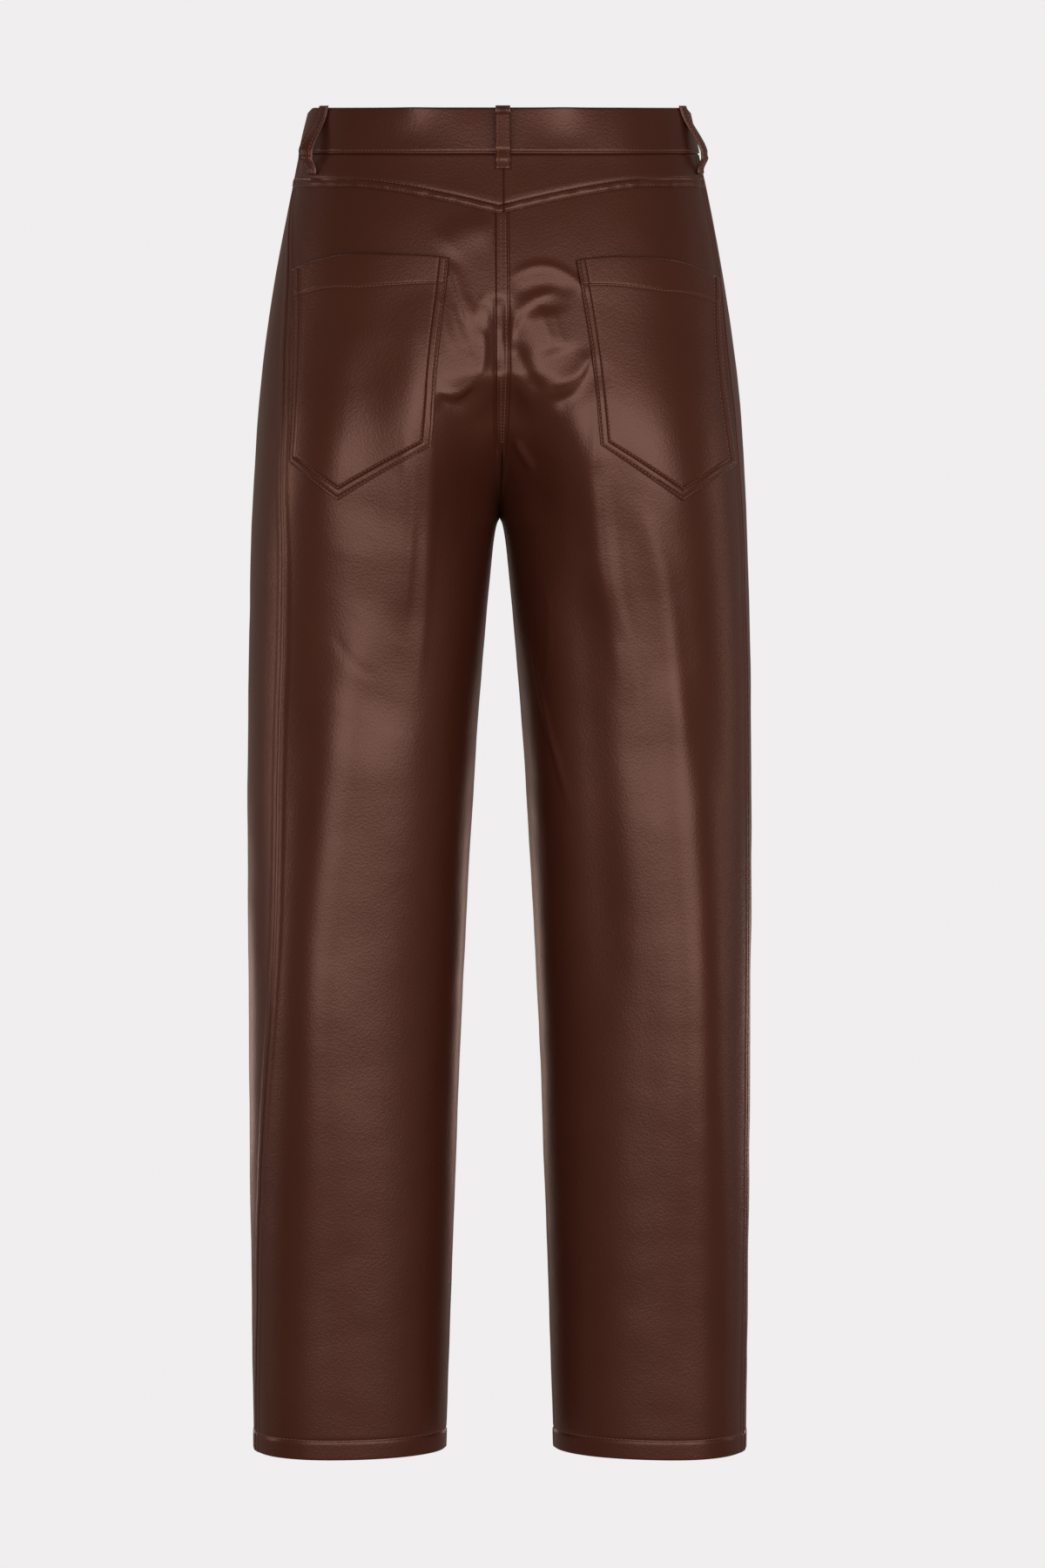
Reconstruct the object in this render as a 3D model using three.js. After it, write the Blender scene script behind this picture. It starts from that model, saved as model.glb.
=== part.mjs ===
// Leather trousers, filled out with no wearer: a shaped waistband on a pointed back yoke,
// two pointed patch pockets on the seat, five belt loops, a buttoned front fly and long,
// straight, slightly wide legs with a turned hem.
// Millimetres, +Z up. The front faces -Y, the seat faces +Y and the wearer's left is +X.
// The origin is the middle of the waist, halfway up the waistband.

import * as THREE from "three";

// Driving sizes
const WAIST_TOP = 18;
const LENGTH = 1040;
const BAND_WIDTH = 35;
const CROTCH_DROP = 314.5;
const CLEFT_HEIGHT = 200;
const CLEFT_POWER = 1.5;
const ROUNDNESS = 2.2;
const FRONT_DIP = 12;
const FRONT_DIP_END = 300;
const BODY_TURN = 0.03;

// Cloth and seams
const LEATHER = 1.6;
const SEAM_GAP = 0.3;
const BAND_THICKNESS = 3;
const BAND_PROUD = 0.8;
const HEM_WIDTH = 15.5;
const HEM_EXTRA = 1;
const POCKET_THICKNESS = 1.5;
const POCKET_PUFF = 1.8;
const POCKET_PUFF_START = 0.25;
const POCKET_CLEAR = 0.8;

// Belt loops
const LOOP_WIDTH = 11.4;
const LOOP_THICKNESS = 2;
const LOOP_TOP = -1.5;
const LOOP_STEPS = 16;

// Fly and button
const FLY_WIDTH = 38;
const FLY_LENGTH = 150;
const FLY_THICKNESS = 1.2;
const FLY_CURVE_START = 0.7;
const FLY_END_SHARE = 0.3;
const LAP_OUTER_END = -2;
const LAP_INWARD = 3.4;
const LAP_BEND = { start: -20, end: -6 };
const LAP_LENGTH = 25;
const BUTTON_RADIUS = 8.5;
const BUTTON_HEIGHT = 4.2;
const BUTTON_RIM = 1.2;
const BUTTON_ACROSS = 12;

const DEGREE = Math.PI / 180;
const { smoothstep } = THREE.MathUtils;

// Body and legs, level by level. drop is measured down from the waistband's top edge, out
// from the middle to the side, back and front from the plane through both sides.
const SECTIONS = [
  { drop: 0, out: 145.3, back: 97, front: 97 },
  { drop: 36, out: 153.6, back: 103, front: 100 },
  { drop: 90, out: 164.8, back: 117, front: 105 },
  { drop: 130, out: 172.2, back: 125, front: 108.5 },
  { drop: 180, out: 180, back: 130, front: 111.5 },
  { drop: 230, out: 185.7, back: 130.5, front: 110.5 },
  { drop: 280, out: 189.2, back: 125, front: 104.5 },
  { drop: 330, out: 191.6, back: 116, front: 98.5 },
  { drop: 400, out: 193.4, back: 105, front: 95 },
  { drop: 520, out: 195.2, back: 95, front: 91 },
  { drop: 680, out: 194.9, back: 86, front: 86 },
  { drop: 860, out: 193.8, back: 77, front: 78 },
  { drop: 1040, out: 191.9, back: 67, front: 67 },
];

// Half of the space between the legs, below the crotch.
const LEG_GAP = [
  { drop: 314.5, half: 0 },
  { drop: 320, half: 2.6 },
  { drop: 330, half: 4.6 },
  { drop: 345, half: 6.4 },
  { drop: 400, half: 11.6 },
  { drop: 480, half: 17.9 },
  { drop: 570, half: 23.6 },
  { drop: 740, half: 32 },
  { drop: 1040, half: 42.7 },
];

// Just below the crotch the legs part at their inner sides first, and the legs as a whole
// have moved apart where the easing ends.
const GAP_EASE_END = 480;
const GAP_EDGE_POWER = 3;

// The hollow under the seat: the share of the back's depth that it takes away at its middle,
// how far it reaches to the sides and the drops where it starts and fades out.
const SEAT_HOLLOW = 0.13;
const HOLLOW_WIDTH = 50;
const HOLLOW_POWER = 3;
const HOLLOW_START = { from: 198, to: 240 };
const HOLLOW_FADE = { from: 290, to: 400 };

// How far round to the back each side seam lies, in degrees from the outermost line.
const SIDE_SEAMS = [
  { drop: 0, left: 5, right: 12 },
  { drop: 57, left: 9, right: 12 },
  { drop: 120, left: 22, right: 13 },
  { drop: 180, left: 29, right: 19 },
  { drop: 260, left: 40, right: 22 },
  { drop: 345, left: 46, right: 20 },
  { drop: 590, left: 47, right: 19 },
  { drop: 680, left: 44, right: 19 },
  { drop: 760, left: 37, right: 19 },
  { drop: 860, left: 29, right: 19 },
  { drop: 1040, left: 18, right: 19 },
];

// Large folds. x and drop are seen from behind for the back and through it for the front,
// with the wearer's left at +x. Each runs from its start over its bend to its end, and lift
// is how far its middle stands proud of the smooth form, or lies below it.
const FOLDS = [
  { face: "back", x: [45.2, 25.4, -1], drop: [110.6, 94.8, 90.9], width: 13, lift: 1.6 },
  { face: "back", x: [-34, -38.6, -43.9], drop: [148.8, 168.6, 188.3], width: 14, lift: 2 },
  { face: "back", x: [78.9, 134.2, 142.2], drop: [372.7, 537.3, 853.4], width: 26, lift: 3.5 },
  { face: "back", x: [-98, -126.9, -137.5], drop: [290.4, 379.3, 537.3], width: 10, lift: 1.8 },
  { face: "back", x: [-75.6, -82.3, -104.2], drop: [267.4, 353, 471.5], width: 11, lift: 1.6 },
  { face: "back", x: [-57.1, -70.9, -84.2], drop: [339.8, 478.1, 741.5], width: 20, lift: -3.5 },
  { face: "back", x: [-130.9, -147.5, -154.2], drop: [418.8, 576.8, 873.2], width: 22, lift: 3 },
  { face: "front", x: [10, 34, 70], drop: [292, 268, 246], width: 8, lift: 2 },
  { face: "front", x: [12, 44, 84], drop: [308, 290, 282], width: 8, lift: -1.8 },
  { face: "front", x: [-10, -36, -74], drop: [288, 264, 250], width: 8, lift: 2.2 },
  { face: "front", x: [-12, -42, -82], drop: [306, 290, 276], width: 8, lift: -1.8 },
  { face: "front", x: [58, 96, 112], drop: [330, 440, 620], width: 13, lift: 2.6 },
  { face: "front", x: [-62, -92, -116], drop: [340, 430, 600], width: 13, lift: 2.6 },
];
const FOLD_TAPER = 0.25;

// The patch pockets' outlines, seen from behind. Top and bottom run from the inner edge to
// the outer one, inner and outer edges run down.
const POCKETS = [
  {
    name: "back_pocket_left",
    side: 1,
    top: [
      [37.5, 113.3],
      [48.7, 112],
      [71.8, 111.1],
      [113.7, 111.4],
      [133.8, 115.2],
      [156.5, 123.5],
    ],
    bottom: [[52.5, 253.7], [122.6, 296.8], [159, 268.5]],
    inner: [[37.5, 113.3], [44.9, 183.3], [52.5, 253.7]],
    outer: [[156.5, 123.5], [156, 190.8], [159, 268.5]],
  },
  {
    name: "back_pocket_right",
    side: -1,
    top: [
      [-58.2, 115.3],
      [-65.7, 113.9],
      [-91.4, 112.6],
      [-128.9, 115.8],
      [-149.5, 121.9],
      [-168, 131.5],
    ],
    bottom: [[-77, 253.6], [-138.9, 297.1], [-181, 270.7]],
    inner: [[-58.2, 115.3], [-69.3, 182.1], [-77, 253.6]],
    outer: [[-168, 131.5], [-171, 191.4], [-181, 270.7]],
  },
];
const POCKET_COLUMNS = 13;
const POCKET_ROWS = 14;
const POCKET_TIP_COLUMN = 7;

// How a belt loop stands off the band: the drop of its lower end, the room for a belt, and
// the shares of its length where it rises and falls back. The side loops sag with wear.
const FLAT_LOOP = {
  bottom: 47,
  room: 5.8,
  rise: { start: 0.03, end: 0.16 },
  fall: { start: 0.68, end: 0.88 },
};
const SAGGING_LOOP = {
  bottom: 51,
  room: 6.8,
  rise: { start: 0.1, end: 0.7 },
  fall: { start: 0.76, end: 0.97 },
};

// Belt loops: the angle round the waist where each sits, 90 at the centre back and -90 at
// the centre front, 0 at the wearer's left side and 180 at the right. slant is how far round
// its lower end lies from its upper end.
const LOOPS = [
  { name: "belt_loop_back", angle: 90, slant: 0, ...FLAT_LOOP },
  { name: "belt_loop_left", angle: 27, slant: 0, ...SAGGING_LOOP },
  { name: "belt_loop_right", angle: 162, slant: 5, ...SAGGING_LOOP },
  { name: "belt_loop_front_left", angle: -52, slant: 0, ...FLAT_LOOP },
  { name: "belt_loop_front_right", angle: 232, slant: 0, ...FLAT_LOOP },
];

// Colours and finishes
function leather(colour, roughness) {
  return new THREE.MeshStandardMaterial({ color: colour, roughness, metalness: 0 });
}
const PANEL_LEATHER = leather(0x4a2c25, 0.38);
const BAND_LEATHER = leather(0x4d2f28, 0.38);
const TRIM_LEATHER = leather(0x533229, 0.4);
const BUTTON_METAL = new THREE.MeshStandardMaterial({
  color: 0x3b302b,
  roughness: 0.35,
  metalness: 0.9,
});

// A smooth curve through one column of a table.
function smooth(rows, column, drop) {
  const last = rows.length - 1;
  const at = Math.min(Math.max(drop, rows[0].drop), rows[last].drop);
  let i = 0;
  while (i < last - 1 && rows[i + 1].drop < at) i += 1;
  const slope = (k) => {
    const before = rows[Math.max(k - 1, 0)];
    const after = rows[Math.min(k + 1, last)];
    return (after[column] - before[column]) / (after.drop - before.drop);
  };
  const span = rows[i + 1].drop - rows[i].drop;
  const u = (at - rows[i].drop) / span;
  const u2 = u * u;
  const u3 = u2 * u;
  return (
    (2 * u3 - 3 * u2 + 1) * rows[i][column] +
    (u3 - 2 * u2 + u) * span * slope(i) +
    (3 * u2 - 2 * u3) * rows[i + 1][column] +
    (u3 - u2) * span * slope(i + 1)
  );
}

// One half of the garment at a level: a rounded loop round its own middle. Above the crotch
// the two loops run into each other, and the cleft between them fades out upwards. overlap
// is how far a loop's middle lies from the centre, as a share of its half width, and reach
// is where the loop meets the centre, as a share of its depth.
function halfSection(drop) {
  const out = smooth(SECTIONS, "out", drop);
  const back = smooth(SECTIONS, "back", drop);
  const front = smooth(SECTIONS, "front", drop);
  if (drop >= CROTCH_DROP) {
    const gap = smooth(LEG_GAP, "half", drop) * smoothstep(drop, CROTCH_DROP, GAP_EASE_END);
    const halfWidth = (out - gap) / 2;
    return { out, back, front, halfWidth, middle: out - halfWidth, innerAngle: Math.PI };
  }
  const rise = Math.min((CROTCH_DROP - drop) / CLEFT_HEIGHT, 1);
  const overlap = ((1 + Math.cos(Math.PI * rise)) / 2) ** CLEFT_POWER;
  const reach = (1 - overlap ** ROUNDNESS) ** (1 / ROUNDNESS);
  const halfWidth = out / (1 + overlap);
  const innerAngle = Math.atan2(reach, -overlap);
  return { out, back, front, halfWidth, middle: out - halfWidth, innerAngle };
}

// How much further the legs' inner sides part than the legs as a whole.
function innerOpening(drop) {
  if (drop <= CROTCH_DROP) return 0;
  return smooth(LEG_GAP, "half", drop) * (1 - smoothstep(drop, CROTCH_DROP, GAP_EASE_END));
}

// The share of its depth that the back loses in the hollow under the seat.
function underSeat(x, drop) {
  const started = smoothstep(drop, HOLLOW_START.from, HOLLOW_START.to);
  const fading = 1 - smoothstep(drop, HOLLOW_FADE.from, HOLLOW_FADE.to);
  return SEAT_HOLLOW * started * fading * Math.exp(-((Math.abs(x) / HOLLOW_WIDTH) ** HOLLOW_POWER));
}

// The smooth form without folds. side is 1 for the wearer's left and -1 for the right, and
// angle runs from the outermost line, positive to the back and negative to the front.
function formPoint(side, drop, angle) {
  const s = halfSection(drop);
  const c = Math.cos(angle);
  const n = Math.sin(angle);
  const reach = (Math.abs(c) ** ROUNDNESS + Math.abs(n) ** ROUNDNESS) ** (-1 / ROUNDNESS);
  const opened = innerOpening(drop) * Math.max(0, -c) ** GAP_EDGE_POWER;
  const x = s.middle + s.halfWidth * reach * c + opened;
  const y = (n > 0 ? s.back * (1 - underSeat(x, drop)) : s.front) * reach * n;
  const turned = side * x - BODY_TURN * y * (1 - (x / s.out) ** 2);
  const lowering = Math.max(0, 1 - drop / FRONT_DIP_END) ** 2;
  const dip = n < 0 ? FRONT_DIP * (y / s.front) ** 2 * lowering : 0;
  return new THREE.Vector3(turned, y, WAIST_TOP - drop - dip);
}

// The outward direction, from two short steps across the form: radians round it and
// millimetres down it.
const ANGLE_STEP = 0.01;
const DROP_STEP = 0.4;

function formNormal(side, drop, angle) {
  const ahead = formPoint(side, drop, angle + ANGLE_STEP);
  const along = ahead.sub(formPoint(side, drop, angle - ANGLE_STEP));
  const below = formPoint(side, drop + DROP_STEP, angle);
  const down = below.sub(formPoint(side, drop - DROP_STEP, angle));
  return along.cross(down).normalize().multiplyScalar(-side);
}

// The height of all folds together at a place on the form.
function foldLift(point) {
  const face = point.y > 0 ? "back" : "front";
  const drop = WAIST_TOP - point.z;
  let lift = 0;
  for (const fold of FOLDS) {
    if (fold.face !== face) continue;
    let nearest = Infinity;
    let place = 0;
    for (let i = 0; i < 2; i += 1) {
      const dx = fold.x[i + 1] - fold.x[i];
      const dd = fold.drop[i + 1] - fold.drop[i];
      const ahead = (point.x - fold.x[i]) * dx + (drop - fold.drop[i]) * dd;
      const t = Math.min(Math.max(ahead / (dx * dx + dd * dd), 0), 1);
      const distance = Math.hypot(point.x - fold.x[i] - t * dx, drop - fold.drop[i] - t * dd);
      if (distance < nearest) {
        nearest = distance;
        place = (i + t) / 2;
      }
    }
    const end = Math.min(place, 1 - place) / FOLD_TAPER;
    const fade = Math.min(end, 1) ** 2 * (3 - 2 * Math.min(end, 1));
    lift += fold.lift * fade * Math.exp(-((nearest / fold.width) ** 2));
  }
  return lift;
}

// A point of the cloth, raised above its outer face by lift.
function clothPoint(side, drop, angle, lift) {
  const point = formPoint(side, drop, angle);
  const height = foldLift(point) + lift;
  return point.addScaledVector(formNormal(side, drop, angle), height);
}

// A closed wall between two grids of points, outer[row][column] and inner[row][column].
function wallGeometry(outer, inner) {
  const rows = outer.length;
  const columns = outer[0].length;
  const positions = [];
  for (const layer of [outer, inner]) {
    for (const row of layer) {
      for (const point of row) positions.push(point.x, point.y, point.z);
    }
  }
  const layerSize = rows * columns;
  const index = [];
  const quad = (a, b, c, d) => index.push(a, b, c, a, c, d);
  const at = (layer, row, column) => layer * layerSize + row * columns + column;
  const last = columns - 1;
  for (let r = 0; r < rows - 1; r += 1) {
    for (let c = 0; c < columns - 1; c += 1) {
      quad(at(0, r, c), at(0, r + 1, c), at(0, r + 1, c + 1), at(0, r, c + 1));
      quad(at(1, r, c), at(1, r, c + 1), at(1, r + 1, c + 1), at(1, r + 1, c));
    }
    quad(at(0, r, 0), at(1, r, 0), at(1, r + 1, 0), at(0, r + 1, 0));
    quad(at(0, r, last), at(0, r + 1, last), at(1, r + 1, last), at(1, r, last));
  }
  for (let c = 0; c < columns - 1; c += 1) {
    quad(at(0, 0, c), at(0, 0, c + 1), at(1, 0, c + 1), at(1, 0, c));
    const end = rows - 1;
    quad(at(0, end, c), at(1, end, c), at(1, end, c + 1), at(0, end, c + 1));
  }
  if (signedVolume(positions, index) < 0) index.reverse();
  const geometry = new THREE.BufferGeometry();
  geometry.setAttribute("position", new THREE.Float32BufferAttribute(positions, 3));
  geometry.setIndex(index);
  geometry.computeVertexNormals();
  return geometry;
}

function signedVolume(positions, index) {
  const corner = (i) => new THREE.Vector3().fromArray(positions, index[i] * 3);
  let volume = 0;
  for (let i = 0; i < index.length; i += 3) {
    volume += corner(i).dot(corner(i + 1).cross(corner(i + 2)));
  }
  return volume;
}

const trousers = new THREE.Group();

function addPiece(name, geometry, material) {
  const mesh = new THREE.Mesh(geometry, material);
  mesh.name = name;
  trousers.add(mesh);
}

// The angle of a place on a panel: across is 0 at the centre seam or inseam and 1 at the
// side seam, less half a seam gap at both.
function panelAngle(side, face, drop, across) {
  const section = halfSection(drop);
  const seam = smooth(SIDE_SEAMS, side > 0 ? "left" : "right", drop) * DEGREE;
  const clear = SEAM_GAP / 2 / section.back;
  const direction = face === "back" ? 1 : -1;
  const inner = direction * Math.min(section.innerAngle, Math.PI - clear);
  const outer = seam + direction * clear;
  return inner + (outer - inner) * across;
}

function panelPoint(side, face, drop, across, lift) {
  const point = clothPoint(side, drop, panelAngle(side, face, drop, across), lift);
  point.x += (side * SEAM_GAP) / 2;
  return point;
}

// The yoke's pointed lower edge: level at the sides and sloping down to the centre back.
const YOKE_SIDE_DROP = 60;
const YOKE_POINT_DEPTH = 20;
const YOKE_SLOPE_WIDTH = 110;
const YOKE_SLOPE_POWER = 1.4;

function yokeEdge(side, across) {
  const angle = panelAngle(side, "back", YOKE_SIDE_DROP, across);
  const x = Math.abs(formPoint(side, YOKE_SIDE_DROP, angle).x);
  const slope = Math.max(0, 1 - x / YOKE_SLOPE_WIDTH) ** YOKE_SLOPE_POWER;
  return YOKE_SIDE_DROP + YOKE_POINT_DEPTH * slope;
}

// A wall whose rows are levels that may slope with across, and whose thickness may change.
function addPanel(name, side, face, columns, levels, material) {
  const outer = [];
  const inner = [];
  for (const level of levels) {
    const outerRow = [];
    const innerRow = [];
    for (let c = 0; c <= columns; c += 1) {
      const across = c / columns;
      const drop = level.drop(across);
      outerRow.push(panelPoint(side, face, drop, across, 0));
      innerRow.push(panelPoint(side, face, drop, across, -level.thickness));
    }
    outer.push(outerRow);
    inner.push(innerRow);
  }
  addPiece(name, wallGeometry(outer, inner), material);
}

// Levels of a leg from its upper edge to the hem: even down to the cleft, then as the
// cleft deepens, close under the crotch, even down the leg and two at the turned hem.
const LEG_ROWS = { seat: 3, cleft: 12, crotch: 3, leg: 13 };
const CROTCH_ROWS_END = 345;
const CLEFT_ROW_POWER = 1.5;

function legLevels(upperEdge) {
  const cleftTop = CROTCH_DROP - CLEFT_HEIGHT;
  const hemTop = LENGTH - HEM_WIDTH;
  const levels = [];
  const level = (drop, thickness) => levels.push({ drop, thickness });
  for (let i = 0; i < LEG_ROWS.seat; i += 1) {
    const share = i / LEG_ROWS.seat;
    level((across) => upperEdge(across) * (1 - share) + cleftTop * share, LEATHER);
  }
  for (let i = 0; i < LEG_ROWS.cleft; i += 1) {
    const drop = CROTCH_DROP - CLEFT_HEIGHT * (1 - i / LEG_ROWS.cleft) ** CLEFT_ROW_POWER;
    level(() => drop, LEATHER);
  }
  for (let i = 0; i < LEG_ROWS.crotch; i += 1) {
    const drop = CROTCH_DROP + ((CROTCH_ROWS_END - CROTCH_DROP) * i) / LEG_ROWS.crotch;
    level(() => drop, LEATHER);
  }
  for (let i = 0; i <= LEG_ROWS.leg; i += 1) {
    const drop = CROTCH_ROWS_END + ((hemTop - 1 - CROTCH_ROWS_END) * i) / LEG_ROWS.leg;
    level(() => drop, LEATHER);
  }
  level(() => hemTop, LEATHER + HEM_EXTRA);
  level(() => LENGTH, LEATHER + HEM_EXTRA);
  return levels;
}

// Back legs, front legs and yokes, a left and a right one of each. Pieces that meet at a
// seam have the same levels or the same columns there, so their edges run side by side.
const BACK_COLUMNS = 20;
const FRONT_COLUMNS = 11;
const YOKE_ROWS = 3;
const WAIST_SEAM_DROP = BAND_WIDTH + SEAM_GAP;

function yokeLevels(side) {
  const levels = [];
  for (let i = 0; i <= YOKE_ROWS; i += 1) {
    const share = i / YOKE_ROWS;
    const drop = (across) => WAIST_SEAM_DROP * (1 - share) + yokeEdge(side, across) * share;
    levels.push({ drop, thickness: LEATHER });
  }
  return levels;
}

for (const { side, word } of [{ side: 1, word: "left" }, { side: -1, word: "right" }]) {
  const backLevels = legLevels((across) => yokeEdge(side, across) + SEAM_GAP);
  const atSide = ({ drop, thickness }) => ({ drop: () => drop(1), thickness });
  const besideYoke = yokeLevels(side).map(atSide);
  const frontLevels = [...besideYoke, ...legLevels(() => yokeEdge(side, 1) + SEAM_GAP)];
  addPanel(`yoke_${word}`, side, "back", BACK_COLUMNS, yokeLevels(side), PANEL_LEATHER);
  addPanel(`back_leg_${word}`, side, "back", BACK_COLUMNS, backLevels, PANEL_LEATHER);
  addPanel(`front_leg_${word}`, side, "front", FRONT_COLUMNS, frontLevels, PANEL_LEATHER);
}

// A point round the whole waist, where angle runs from the wearer's left side over the
// centre back to the right side.
function waistPoint(drop, angle, lift) {
  const onRight = Math.cos(angle) < 0;
  return clothPoint(onRight ? -1 : 1, drop, onRight ? Math.PI - angle : angle, lift);
}

// The angle round the waist of a place at the front, given by its x.
function frontAngle(x) {
  return -Math.PI / 2 + x / SECTIONS[0].out;
}

// One long strip from the buttonhole end at the centre front, round the back, to the end
// that passes inside it under the button.
const BAND_COLUMNS = 60;
const BAND_ROWS = 3;

function addWaistband() {
  const start = frontAngle(LAP_OUTER_END);
  const end = frontAngle(LAP_LENGTH) + 2 * Math.PI;
  const bendStart = frontAngle(LAP_BEND.start) + 2 * Math.PI;
  const bendEnd = frontAngle(LAP_BEND.end) + 2 * Math.PI;
  const outer = [];
  const inner = [];
  for (let r = 0; r <= BAND_ROWS; r += 1) {
    const outerRow = [];
    const innerRow = [];
    for (let c = 0; c <= BAND_COLUMNS; c += 1) {
      const angle = start + ((end - start) * c) / BAND_COLUMNS;
      const inward = LAP_INWARD * smoothstep(angle, bendStart, bendEnd);
      const drop = (BAND_WIDTH * r) / BAND_ROWS;
      outerRow.push(waistPoint(drop, angle, BAND_PROUD - inward));
      innerRow.push(waistPoint(drop, angle, BAND_PROUD - inward - BAND_THICKNESS));
    }
    outer.push(outerRow);
    inner.push(innerRow);
  }
  addPiece("waistband", wallGeometry(outer, inner), BAND_LEATHER);
}
addWaistband();

// A belt loop: a folded strip sewn down over the waistband's top edge and below its seam,
// standing off between them to leave room for a belt.
function addBeltLoop({ name, angle, slant, bottom, room, rise, fall }) {
  const before = waistPoint(BAND_WIDTH / 2, angle * DEGREE - ANGLE_STEP, 0);
  const after = waistPoint(BAND_WIDTH / 2, angle * DEGREE + ANGLE_STEP, 0);
  const turn = (LOOP_WIDTH * ANGLE_STEP) / before.distanceTo(after);
  const outer = [];
  const inner = [];
  for (let i = 0; i <= LOOP_STEPS; i += 1) {
    const share = i / LOOP_STEPS;
    const drop = LOOP_TOP + (bottom - LOOP_TOP) * share;
    const middle = (angle + slant * (share - 0.5)) * DEGREE;
    const onBand = 1 - smoothstep(drop, BAND_WIDTH, BAND_WIDTH + BAND_THICKNESS);
    const standOff =
      smoothstep(share, rise.start, rise.end) * (1 - smoothstep(share, fall.start, fall.end));
    const lift = BAND_PROUD * onBand + SEAM_GAP + room * standOff;
    const outerRow = [];
    const innerRow = [];
    for (const across of [-1, 0, 1]) {
      const place = middle + across * turn;
      innerRow.push(waistPoint(drop, place, lift));
      outerRow.push(waistPoint(drop, place, lift + LOOP_THICKNESS));
    }
    outer.push(outerRow);
    inner.push(innerRow);
  }
  addPiece(name, wallGeometry(outer, inner), TRIM_LEATHER);
}
LOOPS.forEach(addBeltLoop);

// Where a place seen from behind lies on the back panel, as a share of its width.
function acrossAt(side, x, drop) {
  const halvings = 40;
  let low = 0;
  let high = 1;
  for (let i = 0; i < halvings; i += 1) {
    const across = (low + high) / 2;
    const seen = formPoint(side, drop, panelAngle(side, "back", drop, across)).x * side;
    if (seen < x * side) low = across;
    else high = across;
  }
  return (low + high) / 2;
}

// A place along an outline's edge, as x and drop, with share running from 0 to 1.
function alongEdge(edge, share) {
  const curve = new THREE.CatmullRomCurve3(edge.map(([x, drop]) => new THREE.Vector3(x, drop, 0)));
  return curve.getPointAt(share);
}

// A pointed lower edge is two straight runs that meet at the tip's column.
function alongPoint(edge, share, tipShare) {
  const [start, tip, end] = edge.map(([x, drop]) => new THREE.Vector3(x, drop, 0));
  if (share <= tipShare) return start.lerp(tip, share / tipShare);
  return tip.lerp(end, (share - tipShare) / (1 - tipShare));
}

// A patch pocket is laid on the back panel's own points and puffs out a little between its
// sewn edges.
function addPocket({ name, side, top, bottom, inner, outer }) {
  const tipShare = POCKET_TIP_COLUMN / POCKET_COLUMNS;
  const onPanel = (place) => new THREE.Vector2(acrossAt(side, place.x, place.y), place.y);
  const corner = (edge, share) => onPanel(alongEdge(edge, share));
  const outerGrid = [];
  const innerGrid = [];
  for (let r = 0; r <= POCKET_ROWS; r += 1) {
    const v = r / POCKET_ROWS;
    const innerEdge = corner(inner, v);
    const outerEdge = corner(outer, v);
    const outerRow = [];
    const innerRow = [];
    for (let c = 0; c <= POCKET_COLUMNS; c += 1) {
      const u = c / POCKET_COLUMNS;
      const upper = corner(top, u);
      const lower = onPanel(alongPoint(bottom, u, tipShare));
      const place = upper.multiplyScalar(1 - v).addScaledVector(lower, v);
      place.addScaledVector(innerEdge, 1 - u).addScaledVector(outerEdge, u);
      place.addScaledVector(corner(inner, 0), -(1 - u) * (1 - v));
      place.addScaledVector(corner(inner, 1), -(1 - u) * v);
      place.addScaledVector(corner(outer, 0), -u * (1 - v));
      place.addScaledVector(corner(outer, 1), -u * v);
      const down = POCKET_PUFF_START + v * (1 - POCKET_PUFF_START);
      const lift = POCKET_CLEAR + POCKET_PUFF * Math.sin(Math.PI * u) * Math.sin(Math.PI * down);
      innerRow.push(panelPoint(side, "back", place.y, place.x, lift));
      outerRow.push(panelPoint(side, "back", place.y, place.x, lift + POCKET_THICKNESS));
    }
    outerGrid.push(outerRow);
    innerGrid.push(innerRow);
  }
  addPiece(name, wallGeometry(outerGrid, innerGrid), TRIM_LEATHER);
}
POCKETS.forEach(addPocket);

// The fly's topping strip on the left front: straight, then curving in to the centre seam.
const FLY_COLUMNS = 4;
const FLY_ROWS = 10;

function addFly() {
  const outer = [];
  const inner = [];
  for (let r = 0; r <= FLY_ROWS; r += 1) {
    const v = r / FLY_ROWS;
    const drop = WAIST_SEAM_DROP + SEAM_GAP + FLY_LENGTH * v;
    const bend = Math.max(0, (v - FLY_CURVE_START) / (1 - FLY_CURVE_START));
    const curved = (1 - FLY_END_SHARE) * Math.sqrt(1 - bend * bend);
    const width = FLY_WIDTH * (FLY_END_SHARE + curved);
    const outerRow = [];
    const innerRow = [];
    for (let c = 0; c <= FLY_COLUMNS; c += 1) {
      const angle = -Math.PI / 2 + (width * c) / FLY_COLUMNS / halfSection(drop).out;
      for (const [row, lift] of [[innerRow, SEAM_GAP], [outerRow, SEAM_GAP + FLY_THICKNESS]]) {
        const point = clothPoint(1, drop, angle, lift);
        point.x += SEAM_GAP / 2;
        row.push(point);
      }
    }
    outer.push(outerRow);
    inner.push(innerRow);
  }
  addPiece("fly", wallGeometry(outer, inner), TRIM_LEATHER);
}
addFly();

// The waist button, a low dome on the buttonhole end of the waistband.
const BUTTON_SIDES = 24;

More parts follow.
